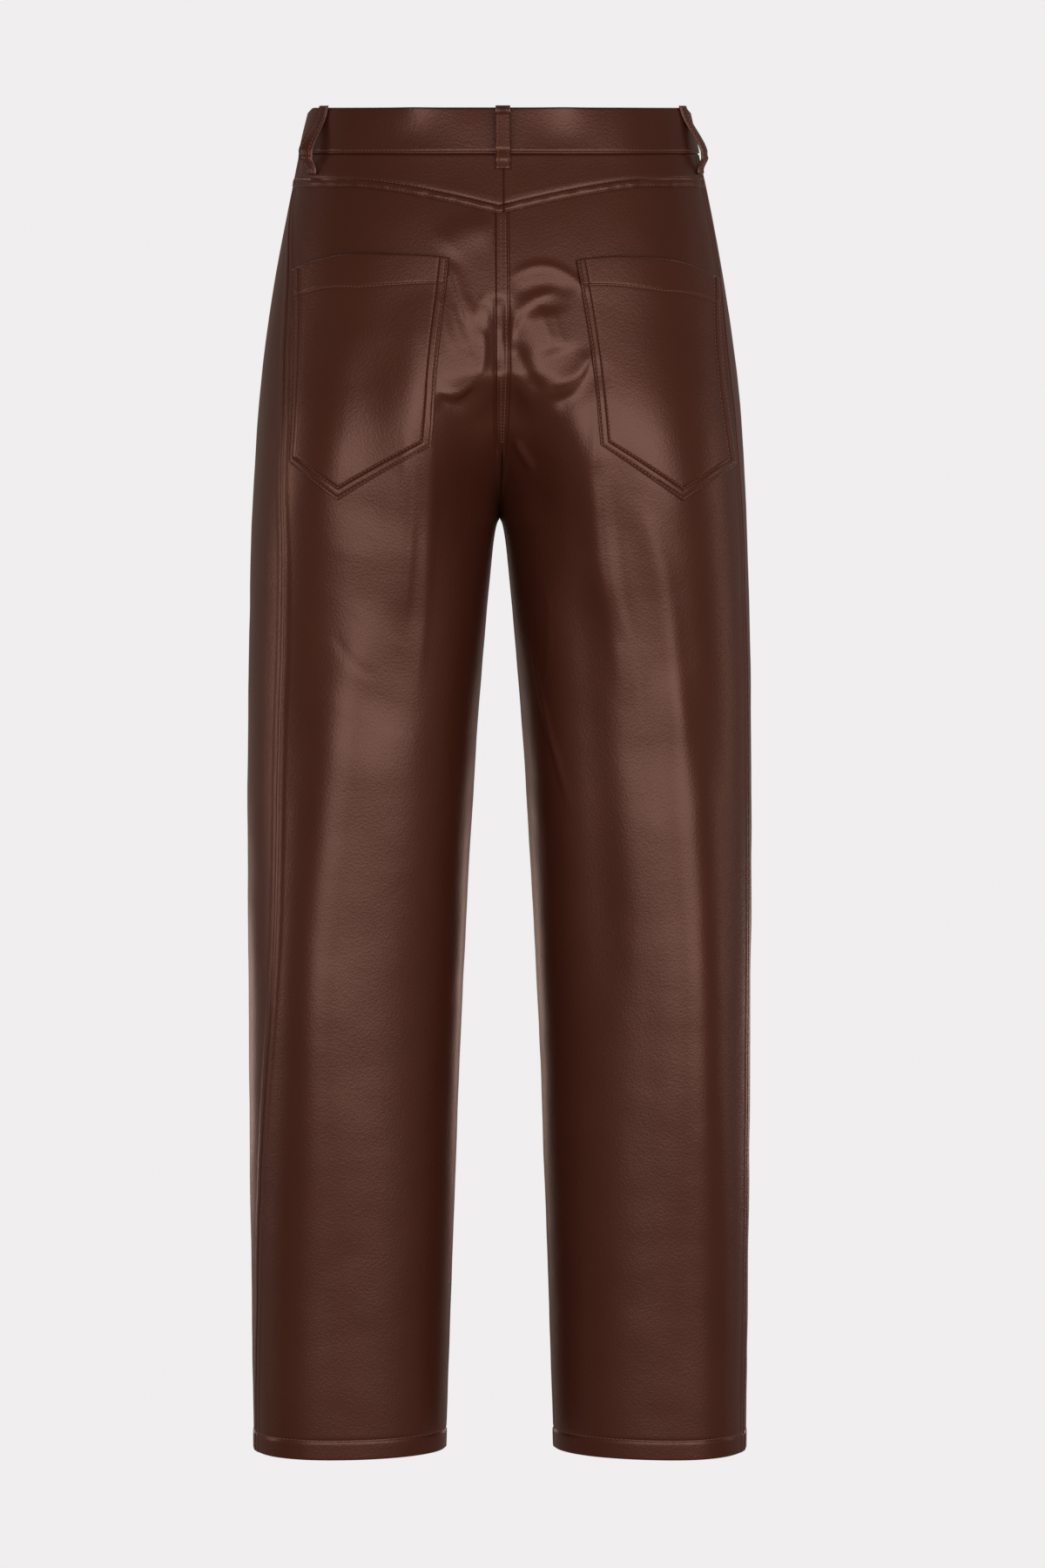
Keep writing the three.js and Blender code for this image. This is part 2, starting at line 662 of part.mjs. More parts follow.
function addButton() {
  const profile = [
    new THREE.Vector2(0, 0),
    new THREE.Vector2(BUTTON_RADIUS - BUTTON_RIM, 0),
    new THREE.Vector2(BUTTON_RADIUS, BUTTON_RIM),
    new THREE.Vector2(BUTTON_RADIUS, BUTTON_HEIGHT - 1.5 * BUTTON_RIM),
    new THREE.Vector2(BUTTON_RADIUS - BUTTON_RIM, BUTTON_HEIGHT - 0.5 * BUTTON_RIM),
    new THREE.Vector2(BUTTON_RADIUS / 2, BUTTON_HEIGHT),
    new THREE.Vector2(0, BUTTON_HEIGHT),
  ];
  const geometry = new THREE.LatheGeometry(profile, BUTTON_SIDES);
  const angle = frontAngle(BUTTON_ACROSS);
  const drop = BAND_WIDTH / 2;
  const normal = formNormal(1, drop, angle);
  const seat = clothPoint(1, drop, angle, BAND_PROUD + SEAM_GAP);
  const turn = new THREE.Quaternion().setFromUnitVectors(new THREE.Vector3(0, 1, 0), normal);
  geometry.applyQuaternion(turn);
  geometry.translate(seat.x, seat.y, seat.z);
  addPiece("waist_button", geometry, BUTTON_METAL);
}
addButton();

export default trousers;
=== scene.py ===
# %% [markdown]
# # Leather trousers
#
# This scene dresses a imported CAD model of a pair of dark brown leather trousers. The CAD
# model gives the form: a filled-out garment with no wearer, hanging straight from its
# waist. Here each panel becomes a thin sheet of leather with its own creases, seams, turned
# edges and stitches. The form is written as a few short tables of measures and a handful of
# functions, so every piece is made from the same surface and they fit each other.

import math

import bpy
import numpy as np
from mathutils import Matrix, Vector, noise


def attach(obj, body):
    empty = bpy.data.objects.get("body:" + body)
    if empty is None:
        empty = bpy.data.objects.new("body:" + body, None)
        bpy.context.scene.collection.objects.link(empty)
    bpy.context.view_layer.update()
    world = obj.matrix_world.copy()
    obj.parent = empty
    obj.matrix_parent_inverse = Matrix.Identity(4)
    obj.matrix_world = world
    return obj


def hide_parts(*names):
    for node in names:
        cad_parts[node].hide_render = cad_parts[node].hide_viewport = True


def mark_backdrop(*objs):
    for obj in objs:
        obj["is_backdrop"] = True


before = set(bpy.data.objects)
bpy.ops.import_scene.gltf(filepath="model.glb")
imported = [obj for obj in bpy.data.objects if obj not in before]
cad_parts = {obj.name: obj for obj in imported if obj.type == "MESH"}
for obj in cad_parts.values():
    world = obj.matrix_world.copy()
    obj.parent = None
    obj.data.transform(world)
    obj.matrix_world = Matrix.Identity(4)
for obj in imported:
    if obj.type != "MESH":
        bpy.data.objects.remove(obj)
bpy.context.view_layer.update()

# %% [markdown]
# ## Measures
#
# All measures are in millimetres, as on a tailor's sheet, and become metres only when a
# mesh is made. drop is how far down something lies from the waistband's top edge. The
# wearer's left is +x, the seat faces +y and the origin is the middle of the waist.

# %% Measures of the body and legs
MM = 0.001
WAIST_TOP = 18
LENGTH = 1040
BAND_WIDTH = 35
CROTCH_DROP = 314.5
CLEFT_HEIGHT = 200
CLEFT_POWER = 1.5
GAP_EASE_END = 480
GAP_EDGE_POWER = 3
SEAT_HOLLOW = 0.13
HOLLOW_WIDTH = 41
HOLLOW_POWER = 3
HOLLOW_START = (198, 240)
HOLLOW_FADE = (290, 400)
OUTWARD_FULLNESS = 0.16
OUTWARD_START = (500, 700)
ROUNDNESS = 2.2
FRONT_DIP = 12
FRONT_DIP_END = 300
BODY_TURN = 0.03
SEAM_GAP = 0.3


def columns(names, rows):
    """A short table as one array for each named column."""
    return {name: np.array(column, float) for name, column in zip(names.split(), zip(*rows))}


SECTIONS = columns("drop out back front", [
    (0, 145.3, 97, 97),
    (36, 153.6, 103, 100),
    (90, 164.8, 117, 105),
    (130, 172.2, 125, 108.5),
    (180, 180, 130, 111.5),
    (230, 185.7, 130.5, 110.5),
    (280, 189.2, 125, 104.5),
    (330, 191.6, 116, 98.5),
    (400, 193.4, 105, 95),
    (520, 195.2, 95, 91),
    (680, 194.9, 86, 86),
    (860, 193.8, 77, 78),
    (1040, 191.9, 67, 67),
])
LEG_GAP = columns("drop half", [
    (314.5, 0),
    (320, 2.6),
    (330, 4.6),
    (345, 6.4),
    (400, 11.6),
    (480, 17.9),
    (570, 23.6),
    (740, 32),
    (1040, 42.7),
])
SIDE_SEAMS = columns("drop left right", [
    (0, 5, 12),
    (57, 9, 12),
    (120, 22, 13),
    (180, 29, 19),
    (260, 40, 22),
    (345, 46, 20),
    (590, 47, 19),
    (680, 44, 19),
    (760, 37, 19),
    (860, 29, 19),
    (1040, 18, 19),
])
print("Length", LENGTH, "mm, waist", 2 * SECTIONS["out"][0], "mm wide")

# %% [markdown]
# ## The smooth form
#
# A real pair of trousers is a flat pattern sewn into two tubes that join at the crotch.
# Filled out, each level is a rounded loop. Below the crotch there are two loops. Above it
# they run into each other, and the cleft between them fades out towards the waist. One
# formula gives both, so the surface has no step where the legs meet.


# %% The form's functions
def smooth(table, column, drop):
    """A smooth curve through one column of a table."""
    levels, values = table["drop"], table[column]
    last = len(levels) - 1
    at = np.clip(drop, levels[0], levels[last])
    i = np.clip(np.searchsorted(levels, at) - 1, 0, last - 1)
    before = np.maximum(np.arange(last + 1) - 1, 0)
    after = np.minimum(np.arange(last + 1) + 1, last)
    slopes = (values[after] - values[before]) / (levels[after] - levels[before])
    span = levels[i + 1] - levels[i]
    u = (at - levels[i]) / span
    rise = u * u * (3 - 2 * u)
    bend_in = (u**3 - 2 * u**2 + u) * span * slopes[i]
    bend_out = (u**3 - u**2) * span * slopes[i + 1]
    return values[i] * (1 - rise) + values[i + 1] * rise + bend_in + bend_out


def smoothstep(value, low, high):
    t = np.clip((value - low) / (high - low), 0, 1)
    return t * t * (3 - 2 * t)


def bell(distance, width):
    """A soft bump: 1 at no distance, and nearly nothing at twice its width."""
    return np.exp(-((distance / width) ** 2))


def edge_fall(from_edge, radius):
    """How far a rounded edge has fallen away: 1 at the edge itself, 0 a radius from it."""
    return 1 - np.sqrt(1 - np.clip(1 - from_edge / radius, 0, 1) ** 2)


def half_section(drop):
    """One half's loop at a level: its middle, half width, depths and inner end."""
    out, back, front = (smooth(SECTIONS, name, drop) for name in ("out", "back", "front"))
    gap = smooth(LEG_GAP, "half", drop) * smoothstep(drop, CROTCH_DROP, GAP_EASE_END)
    rise = np.clip((CROTCH_DROP - drop) / CLEFT_HEIGHT, 0, 1)
    overlap = ((1 + np.cos(np.pi * rise)) / 2) ** CLEFT_POWER
    reach = (1 - overlap**ROUNDNESS) ** (1 / ROUNDNESS)
    half_width = np.where(drop < CROTCH_DROP, out / (1 + overlap), (out - gap) / 2)
    inner_angle = np.where(drop < CROTCH_DROP, np.arctan2(reach, -overlap), np.pi)
    return out, back, front, half_width, out - half_width, inner_angle


def inner_opening(drop):
    """How much further the legs' inner sides part than the legs as a whole."""
    opened = smooth(LEG_GAP, "half", drop) * (1 - smoothstep(drop, CROTCH_DROP, GAP_EASE_END))
    return np.where(drop > CROTCH_DROP, opened, 0)


def under_seat(x, drop):
    """The share of its depth that the back loses in the hollow below the seat."""
    window = smoothstep(drop, *HOLLOW_START) * (1 - smoothstep(drop, *HOLLOW_FADE))
    return SEAT_HOLLOW * window * np.exp(-((np.abs(x) / HOLLOW_WIDTH) ** HOLLOW_POWER))


def outward(drop):
    """How much fuller the back of a leg is towards its outer side than towards its inner."""
    return OUTWARD_FULLNESS * smoothstep(drop, *OUTWARD_START)


def form_point(side, drop, angle):
    """A place on the smooth form. side is 1 for the wearer's left and -1 for the right."""
    out, back, front, half_width, middle, _ = half_section(drop)
    c, n = np.cos(angle), np.sin(angle)
    reach = (np.abs(c) ** ROUNDNESS + np.abs(n) ** ROUNDNESS) ** (-1 / ROUNDNESS)
    x = middle + half_width * reach * c
    x = x + inner_opening(drop) * np.maximum(0, -c) ** GAP_EDGE_POWER
    fuller = 1 + outward(drop) * reach * c
    y = np.where(n > 0, back * (1 - under_seat(x, drop)) * fuller, front) * reach * n
    turned = side * x - BODY_TURN * y * (1 - (x / out) ** 2)
    lowering = np.maximum(0, 1 - drop / FRONT_DIP_END) ** 2
    dip = np.where(n < 0, FRONT_DIP * (y / front) ** 2 * lowering, 0)
    return np.stack([turned, y, WAIST_TOP - drop - dip], axis=-1)


def unit(vectors):
    return vectors / np.linalg.norm(vectors, axis=-1, keepdims=True)


def form_normal(side, drop, angle):
    along = form_point(side, drop, angle + 0.01) - form_point(side, drop, angle - 0.01)
    down = form_point(side, drop + 0.4, angle) - form_point(side, drop - 0.4, angle)
    return -side * unit(np.cross(along, down))


def on_form(x, drop, face):
    """The place on the form that is seen at x and drop, from behind or from the front."""
    out, back, front, half_width, middle, _ = half_section(drop)
    direction = 1 if face == "back" else -1
    depth = back if face == "back" else front
    across = np.clip((np.abs(x) - middle) / half_width, -1, 1)
    share = np.abs(across)
    if face == "back":
        depth = depth * (1 - under_seat(x, drop)) * (1 + outward(drop) * across)
    y = direction * depth * (1 - share**ROUNDNESS) ** (1 / ROUNDNESS)
    dip = FRONT_DIP * (y / front) ** 2 * np.maximum(0, 1 - drop / FRONT_DIP_END) ** 2
    return np.stack([x, y, WAIST_TOP - drop - (dip if face == "front" else 0)], axis=-1)


waist_loop = form_point(1, np.full(64, 18.0), np.linspace(-np.pi / 2, np.pi / 2, 64))
half_waist = np.linalg.norm(np.diff(waist_loop, axis=0), axis=1).sum()
print("Waist all round:", round(2 * half_waist), "mm")

# %% [markdown]
# ## Folds and creases
#
# Soft leather on a straight leg folds where the body bends and where seams hold it back.
# The folds here were drawn one by one, each with a path, a width and a height, rather than
# left to a noise texture, because no two on a real pair are alike and the light on them is
# most of what one sees. lean makes one flank of a fold steeper than the other, as a crease
# that has been sat in is. A little noise on top keeps the sheet from looking moulded.

# %% The folds that the solids have too
# A row is the face, x and drop of a fold's start, middle and end, its width, lift and lean.
BIG_FOLDS = [
    ("back", [45.2, 25.4, -1], [110.6, 94.8, 90.9], 13, 1.6, 0),
    ("back", [-34, -38.6, -43.9], [148.8, 168.6, 188.3], 14, 2, 0),
    ("back", [78.9, 134.2, 142.2], [372.7, 537.3, 853.4], 26, 3.5, 0),
    ("back", [-98, -126.9, -137.5], [290.4, 379.3, 537.3], 10, 1.8, 0),
    ("back", [-75.6, -82.3, -104.2], [267.4, 353, 471.5], 11, 1.6, 0),
    ("back", [-57.1, -70.9, -84.2], [339.8, 478.1, 741.5], 20, -3.5, 0),
    ("back", [-130.9, -147.5, -154.2], [418.8, 576.8, 873.2], 22, 3, 0),
    ("front", [10, 34, 70], [292, 268, 246], 8, 2, 0),
    ("front", [12, 44, 84], [308, 290, 282], 8, -1.8, 0),
    ("front", [-10, -36, -74], [288, 264, 250], 8, 2.2, 0),
    ("front", [-12, -42, -82], [306, 290, 276], 8, -1.8, 0),
    ("front", [58, 96, 112], [330, 440, 620], 13, 2.6, 0),
    ("front", [-62, -92, -116], [340, 430, 600], 13, 2.6, 0),
]

# %% Soft rolls, the groove down the seat's middle and fine creases
SOFT_FOLDS = [
    ("back", [1, 1, 0.3], [139.6, 168.6, 208.1], 8, -3.6, 0),
    ("back", [-1.7, -4.3, -5.6], [150.1, 194.9, 247.6], 15, -5, 0),
    ("back", [57.8, 59.1, 80.9], [129.1, 247.6, 432], 20, 3.8, 0),
    ("back", [102.6, 102.6, 115.8], [168.6, 254.2, 339.8], 22, -3.2, 0),
    ("back", [-10.9, -19.5, -33.3], [172.5, 197.5, 218.6], 7, -2.4, 0),
    ("back", [-72.9, -75.6, -89.6], [227.8, 313.4, 408.9], 15, 3, 0),
    ("back", [88.9, 125.5, 134.2], [445.1, 616.4, 945.6], 36, 5, 0),
    ("back", [-137.5, -148.2, -152.2], [478.1, 655.9, 945.6], 32, 4.5, 0),
    ("back", [39.3, 29.4, 21.4], [113.3, 139.6, 167.3], 4, 1, 0.3),
    ("back", [24.8, 18.8, 15.5], [138.9, 159.4, 179.1], 2.2, 0.6, 0),
    ("back", [14.2, 10.2, 16.2], [163.3, 183.1, 205.5], 3, 1, -0.3),
    ("back", [30.7, 24.1, 18.2], [150.1, 171.2, 191], 2.2, -0.6, 0),
    ("back", [43.2, 39.3, 32.7], [135.7, 162, 188.3], 2.8, 0.5, 0),
    ("back", [36, 30, 25.4], [145.5, 165.3, 181.7], 2.2, 0.45, 0),
    ("back", [17.5, 15.5, 11.6], [160.7, 150.1, 139.6], 2, 0.5, 0),
    ("back", [12.2, 8.9, 7.6], [147.5, 158, 169.9], 2.2, 0.45, 0),
    ("back", [49.8, 31.4, 14.2], [214.7, 221.3, 205.5], 6, -2.2, -0.5),
    ("back", [48.5, 32.7, 16.8], [212, 214.7, 205.5], 3, 0.8, 0),
    ("back", [44.6, 52.5, 51.2], [205.5, 230.5, 287.1], 4, 0.9, 0),
    ("back", [-4.3, -38.6, -72.9], [132.4, 119.8, 147.5], 3.4, 1, 0),
    ("back", [-8.2, -34, -59.7], [143.6, 134.3, 140.9], 6, -1, 0),
    ("back", [-9.6, -16.8, -50.5], [189.6, 152.8, 138.3], 4, 1.2, 0.3),
    ("back", [-29.4, -34.6, -43.9], [145.5, 163.3, 183.1], 3, 0.7, 0.3),
    ("back", [-39.9, -45.2, -51.8], [150.1, 168.6, 181.7], 2.4, 0.4, 0),
    ("back", [-70.3, -58.4, -36], [180.4, 201.5, 209.4], 5, 1.2, -0.4),
    ("back", [-34.6, -59.7, -74.2], [222.6, 213.4, 187], 7, -2.2, -0.4),
    ("back", [-69, -74.2, -71.6], [193.6, 218, 287.1], 4, 0.9, 0),
    ("back", [-10.9, -16.8, -26.7], [250.2, 263.4, 276.6], 4.5, 1.8, 0),
    ("back", [71, 69.6, 79.6], [234.4, 320, 418.8], 5, 0.8, 0),
    ("back", [63, 63, 68.9], [260.8, 326.6, 405.6], 4, -0.5, 0),
    ("back", [55.8, 55.1, 64.3], [254.2, 339.8, 458.3], 5, 0.8, 0),
    ("back", [126.2, 112.2, 88.9], [393.8, 418.8, 432], 4, -0.4, 0),
    ("back", [-86.1, -90.1, -101.6], [273.9, 339.8, 405.6], 4.5, -1, 0),
    ("back", [-108.2, -114.2, -123.5], [412.2, 484.7, 557.1], 5, -0.7, 0),
    ("back", [-11.7, -25.6, -57.6], [366.1, 432, 550.5], 3.2, 1.4, 0),
    ("back", [-30.3, -36.3, -31.6], [353, 393.8, 453], 2.6, 0.9, -0.3),
]


# %% How a fold lifts the cloth
FOLD_STEPS = 10
FOLD_TAPER = 0.25
SHORT_FOLD = 2.6
CENTRE_CALM = 16


def fold_path(face, x, drop):
    """A soft bend from a fold's start over its middle to its end, as points on the form."""
    t = np.linspace(0, 1, FOLD_STEPS + 1)
    start, middle, end = (np.array(place, float) for place in zip(x, drop))
    pull = 2 * middle - (start + end) / 2
    seen = np.outer((1 - t) ** 2, start) + np.outer(2 * t * (1 - t), pull) + np.outer(t**2, end)
    return on_form(seen[:, 0], seen[:, 1], face)


def fold_height(points, normals, folds):
    """The height of all these folds together at each point of the form."""
    height = np.zeros(len(points))
    for face, x, drop, width, lift, lean in folds:
        path = fold_path(face, x, drop)
        margin = 3 * width * (1 + abs(lean))
        near = ((points > path.min(0) - margin) & (points < path.max(0) + margin)).all(1)
        if not near.any():
            continue
        place, normal = points[near], normals[near]
        best = np.full(len(place), np.inf)
        share = np.zeros(len(place))
        flank = np.zeros(len(place))
        for i in range(FOLD_STEPS):
            run = path[i + 1] - path[i]
            t = np.clip((place - path[i]) @ run / (run @ run), 0, 1)
            offset = place - path[i] - t[:, None] * run
            distance = np.linalg.norm(offset, axis=1)
            closer = distance < best
            best[closer] = distance[closer]
            share[closer] = (i + t[closer]) / FOLD_STEPS
            side = np.einsum("ij,ij->i", np.cross(normal, run / np.linalg.norm(run)), offset)
            flank[closer] = np.sign(side[closer])
        length = np.linalg.norm(np.diff(path, axis=0), axis=1).sum()
        fade = 1.0
        if length > SHORT_FOLD * width:
            fade = smoothstep(np.minimum(share, 1 - share), 0, FOLD_TAPER)
        reach = width * (1 + lean * flank)
        height[near] += lift * fade * bell(best, reach)
    return height


UNEVEN = [(70, 0.55), (26, 0.22), (11, 0.05)]


def unevenness(points):
    """Slow, shallow waves that keep a sheet of leather from looking moulded."""
    total = np.zeros(len(points))
    for size, height in UNEVEN:
        total += [height * noise.noise(Vector(point / size)) for point in points]
    return total


def cloth(side, drop, angle, lift=0.0):
    """A place on the cloth with its folds, raised above its outer face by lift."""
    drop, angle = np.broadcast_arrays(np.asarray(drop, float), np.asarray(angle, float))
    points = form_point(side, drop, angle)
    normals = form_normal(side, drop, angle)
    flat_points, flat_normals = points.reshape(-1, 3), normals.reshape(-1, 3)
    height = fold_height(flat_points, flat_normals, BIG_FOLDS + SOFT_FOLDS)
    height += unevenness(flat_points)
    push = flat_normals.copy()
    push[:, 0] *= smoothstep(np.abs(flat_points[:, 0]), 0, CENTRE_CALM)
    folded = (flat_points + push * height[:, None]).reshape(points.shape)
    return folded + normals * np.broadcast_to(lift, drop.shape)[..., None]


print(len(BIG_FOLDS), "large folds and", len(SOFT_FOLDS), "softer ones")

# %% [markdown]
# ## Leather, thread and metal
#
# The leather is smooth and satin with a fine grain. Its colour comes from a dark brown dye
# that is a little lighter in soft, random clouds, and its shine is tinted by the
# finish coat. The grain and the uneven dye are node groups, because the
# thread and the metal use them too with other values.


# %% A helper for node groups
def new_group(name, inputs, outputs):
    """An empty shader group with named sockets, each (name, kind, value)."""
    group = bpy.data.node_groups.new(name, "ShaderNodeTree")
    for label, kind, value in inputs:
        socket = group.interface.new_socket(label, in_out="INPUT", socket_type=kind)
        socket.default_value = value
    for label, kind in outputs:
        group.interface.new_socket(label, in_out="OUTPUT", socket_type=kind)
    start = group.nodes.new("NodeGroupInput")
    end = group.nodes.new("NodeGroupOutput")
    return group, start, end


def node(tree, kind, **values):
    """A node with its settings and the values of its named sockets."""
    made = tree.nodes.new(kind)
    for key, value in values.items():
        if hasattr(made, key):
            setattr(made, key, value)
        else:
            made.inputs[key].default_value = value
    return made


# %% The grain group
grain, start, end = new_group(
    "Grain",
    [("Size", "NodeSocketFloat", 900.0), ("Pebble", "NodeSocketFloat", 0.6)],
    [("Height", "NodeSocketFloat")],
)
place = node(grain, "ShaderNodeTexCoord")
cells = node(grain, "ShaderNodeTexVoronoi", feature="SMOOTH_F1", Smoothness=0.6)
pores = node(grain, "ShaderNodeTexNoise", Detail=3.0, Roughness=0.6)
blend = node(grain, "ShaderNodeMix", data_type="FLOAT")
grain.links.new(place.outputs["Object"], cells.inputs["Vector"])
grain.links.new(place.outputs["Object"], pores.inputs["Vector"])
grain.links.new(start.outputs["Size"], cells.inputs["Scale"])
grain.links.new(start.outputs["Size"], pores.inputs["Scale"])
grain.links.new(start.outputs["Pebble"], blend.inputs[0])
grain.links.new(pores.outputs[0], blend.inputs[2])
grain.links.new(cells.outputs["Distance"], blend.inputs[3])
grain.links.new(blend.outputs[0], end.inputs["Height"])
print("Group", grain.name, "has", len(grain.nodes), "nodes")

# %% The dye group
dye, start, end = new_group(
    "Dye",
    [
        ("Deep", "NodeSocketColor", (0.06, 0.02, 0.014, 1)),
        ("Light", "NodeSocketColor", (0.09, 0.035, 0.026, 1)),
        ("Cloud size", "NodeSocketFloat", 14.0),
        ("Dull", "NodeSocketFloat", 0.42),
        ("Dull change", "NodeSocketFloat", 0.06),
    ],
    [("Colour", "NodeSocketColor"), ("Roughness", "NodeSocketFloat")],
)
place = node(dye, "ShaderNodeTexCoord")
cloud = node(dye, "ShaderNodeTexNoise", Detail=4.0, Roughness=0.55)
mix = node(dye, "ShaderNodeMix", data_type="RGBA")
change = node(dye, "ShaderNodeMath", operation="MULTIPLY_ADD")
dye.links.new(place.outputs["Object"], cloud.inputs["Vector"])
dye.links.new(start.outputs["Cloud size"], cloud.inputs["Scale"])
dye.links.new(cloud.outputs[0], mix.inputs[0])
dye.links.new(start.outputs["Deep"], mix.inputs[6])
dye.links.new(start.outputs["Light"], mix.inputs[7])
dye.links.new(mix.outputs[2], end.inputs["Colour"])
dye.links.new(cloud.outputs[0], change.inputs[0])
dye.links.new(start.outputs["Dull change"], change.inputs[1])
dye.links.new(start.outputs["Dull"], change.inputs[2])
dye.links.new(change.outputs[0], end.inputs["Roughness"])
print("Group", dye.name, "has", len(dye.nodes), "nodes")


# %% A helper for materials
def material(name, deep, light, dull, grain_size, grain_height, pebble=0.6, **shader_values):
    """A Principled material fed by the two groups. shader_values are its constant sockets."""
    made = bpy.data.materials.new(name)
    made.use_nodes = True
    tree = made.node_tree
    shader = tree.nodes["Principled BSDF"]
    colour = node(tree, "ShaderNodeGroup", node_tree=dye)
    colour.inputs["Deep"].default_value = (*deep, 1)
    colour.inputs["Light"].default_value = (*light, 1)
    colour.inputs["Dull"].default_value = dull
    surface = node(tree, "ShaderNodeGroup", node_tree=grain)
    surface.inputs["Size"].default_value = grain_size
    surface.inputs["Pebble"].default_value = pebble
    bump = node(tree, "ShaderNodeBump", Strength=1.0, Distance=grain_height)
    tree.links.new(colour.outputs["Colour"], shader.inputs["Base Color"])
    tree.links.new(colour.outputs["Roughness"], shader.inputs["Roughness"])
    tree.links.new(surface.outputs["Height"], bump.inputs["Height"])
    tree.links.new(bump.outputs["Normal"], shader.inputs["Normal"])
    for socket, value in shader_values.items():
        shader.inputs[socket.replace("_", " ")].default_value = value
    return made


SHINE = (1.0, 0.6, 0.5, 1)
leather = material("leather", (0.0335, 0.0082, 0.0042), (0.0415, 0.0112, 0.006), 0.33,
                   560, 0.00015, Specular_Tint=SHINE)
leather_trim = material("leather_trim", (0.035, 0.0086, 0.0045), (0.044, 0.0118, 0.0065), 0.33,
                        560, 0.00015, Specular_Tint=SHINE)
leather_back = material("leather_back", (0.05, 0.022, 0.016), (0.075, 0.036, 0.027), 0.85,
                        1600, 0.0002, pebble=0.2)
thread = material("thread", (0.115, 0.05, 0.036), (0.16, 0.08, 0.062), 0.5,
                  3000, 0.0001, pebble=0.1, Specular_Tint=SHINE)
button_metal = material("button_metal", (0.05, 0.032, 0.024), (0.1, 0.068, 0.05), 0.28,
                        700, 0.00002, pebble=0.1, Metallic=1.0)
print("Materials:", [m.name for m in (leather, leather_trim, leather_back, thread)])

# %% [markdown]
# ## Sheets of leather
#
# A piece of leather is a thin wall: an outer grain face, an inner face with the soft back
# of the skin, and a cut or turned edge between them. Modelling both faces, rather than one
# with a Solidify modifier, lets each edge be thinned, rolled or doubled where it is sewn.


# %% Building a wall between two grids of points
def grid_faces(rows, count, first=0, flip=False):
    r, c = np.mgrid[0:rows - 1, 0:count - 1]
    a = first + r * count + c
    quads = np.stack([a, a + count, a + count + 1, a + 1], axis=-1).reshape(-1, 4)
    return quads[:, ::-1] if flip else quads


def piece_from(name, points, faces, materials, indices=None):
    """A smooth-shaded object from points in millimetres, riding on the part."""
    mesh = bpy.data.meshes.new(name)
    mesh.from_pydata((points * MM).tolist(), [], [list(map(int, face)) for face in faces])
    for item in materials:
        mesh.materials.append(item)
    if indices is not None:
        mesh.polygons.foreach_set("material_index", np.asarray(indices, np.int32))
    mesh.shade_smooth()
    mesh.set_sharp_from_angle(angle=math.radians(42))
    made = bpy.data.objects.new(name, mesh)
    bpy.context.scene.collection.objects.link(made)
    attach(made, "root")
    triangles = sum(len(face) - 2 for face in faces)
    print(f"{name}: {len(points)} points, {triangles} triangles")
    return made


def wall(name, outer, inner, mirrored):
    """A closed sheet between an outer and an inner grid of points, both [row][column]."""
    rows, count = outer.shape[:2]
    size = rows * count
    points = np.concatenate([outer.reshape(-1, 3), inner.reshape(-1, 3)])
    front = grid_faces(rows, count)
    back = grid_faces(rows, count, size, flip=True)
    top = np.arange(count)
    left = np.arange(rows) * count
    border = np.concatenate([
        top[::-1], left[1:], (rows - 1) * count + top[1:], (left + count - 1)[::-1][1:-1],
    ])
    following = np.roll(border, -1)
    rim = np.stack([border, border + size, following + size, following], axis=-1)
    faces = np.concatenate([front, back, rim])
    if mirrored:
        faces = faces[:, ::-1]
    indices = np.zeros(len(faces), np.int32)
    indices[len(front):len(front) + len(back)] = 1
    return piece_from(name, points, faces, [leather, leather_back], indices)


def sheet_size(grid):
    """The mean width and length of a grid of points, in metres, and its area."""
    across = np.linalg.norm(np.diff(grid, axis=1), axis=-1)
    down = np.linalg.norm(np.diff(grid, axis=0), axis=-1)
    width = across.sum(1).max() * MM
    length = down.sum(0).max() * MM
    cells = (across[:-1] + across[1:]) / 2 * (down[:, :-1] + down[:, 1:]) / 2
    return float(width), float(length), float(cells.sum() * MM**2)


# %% [markdown]
# ## Leg and yoke panels
#
# A maker cuts six panels: two long back legs, two long front legs and two back yokes. Each
# is laid here on the form between its own seams. Its columns lie close together next to a
# seam, where the doubled, topstitched edge has its small ridges, and wide apart between.

# %% Where a panel lies
DENSE = np.linspace(0, 1, 241)
SEAM_OFFSETS = np.array([0, 0.5, 1, 1.6, 2.3, 3, 3.8, 4.6, 5.3, 5.9, 6.5, 7.1, 7.8, 8.8, 10.2, 12])
COLUMN_SPACING = {"back": 2.4, "front": 4.5}


def panel_angle(side, face, drop, across):
    """across runs from 0 at the centre seam or inseam to 1 at the side seam."""
    _, back, _, _, _, inner_angle = half_section(drop)
    seam = np.radians(smooth(SIDE_SEAMS, "left" if side > 0 else "right", drop))
    clear = SEAM_GAP / 2 / back
    direction = 1 if face == "back" else -1
    inner = direction * np.minimum(inner_angle, np.pi - clear)
    outer = seam + direction * clear
    return inner + (outer - inner) * across


def arcs(side, face, drops):
    """How far each of the DENSE places of each level is from the inner seam."""
    shares = np.broadcast_to(DENSE, drops.shape)
    points = form_point(side, drops, panel_angle(side, face, drops, shares))
    steps = np.linalg.norm(np.diff(points, axis=1), axis=-1)
    return np.concatenate([np.zeros((len(drops), 1)), np.cumsum(steps, axis=1)], axis=1)


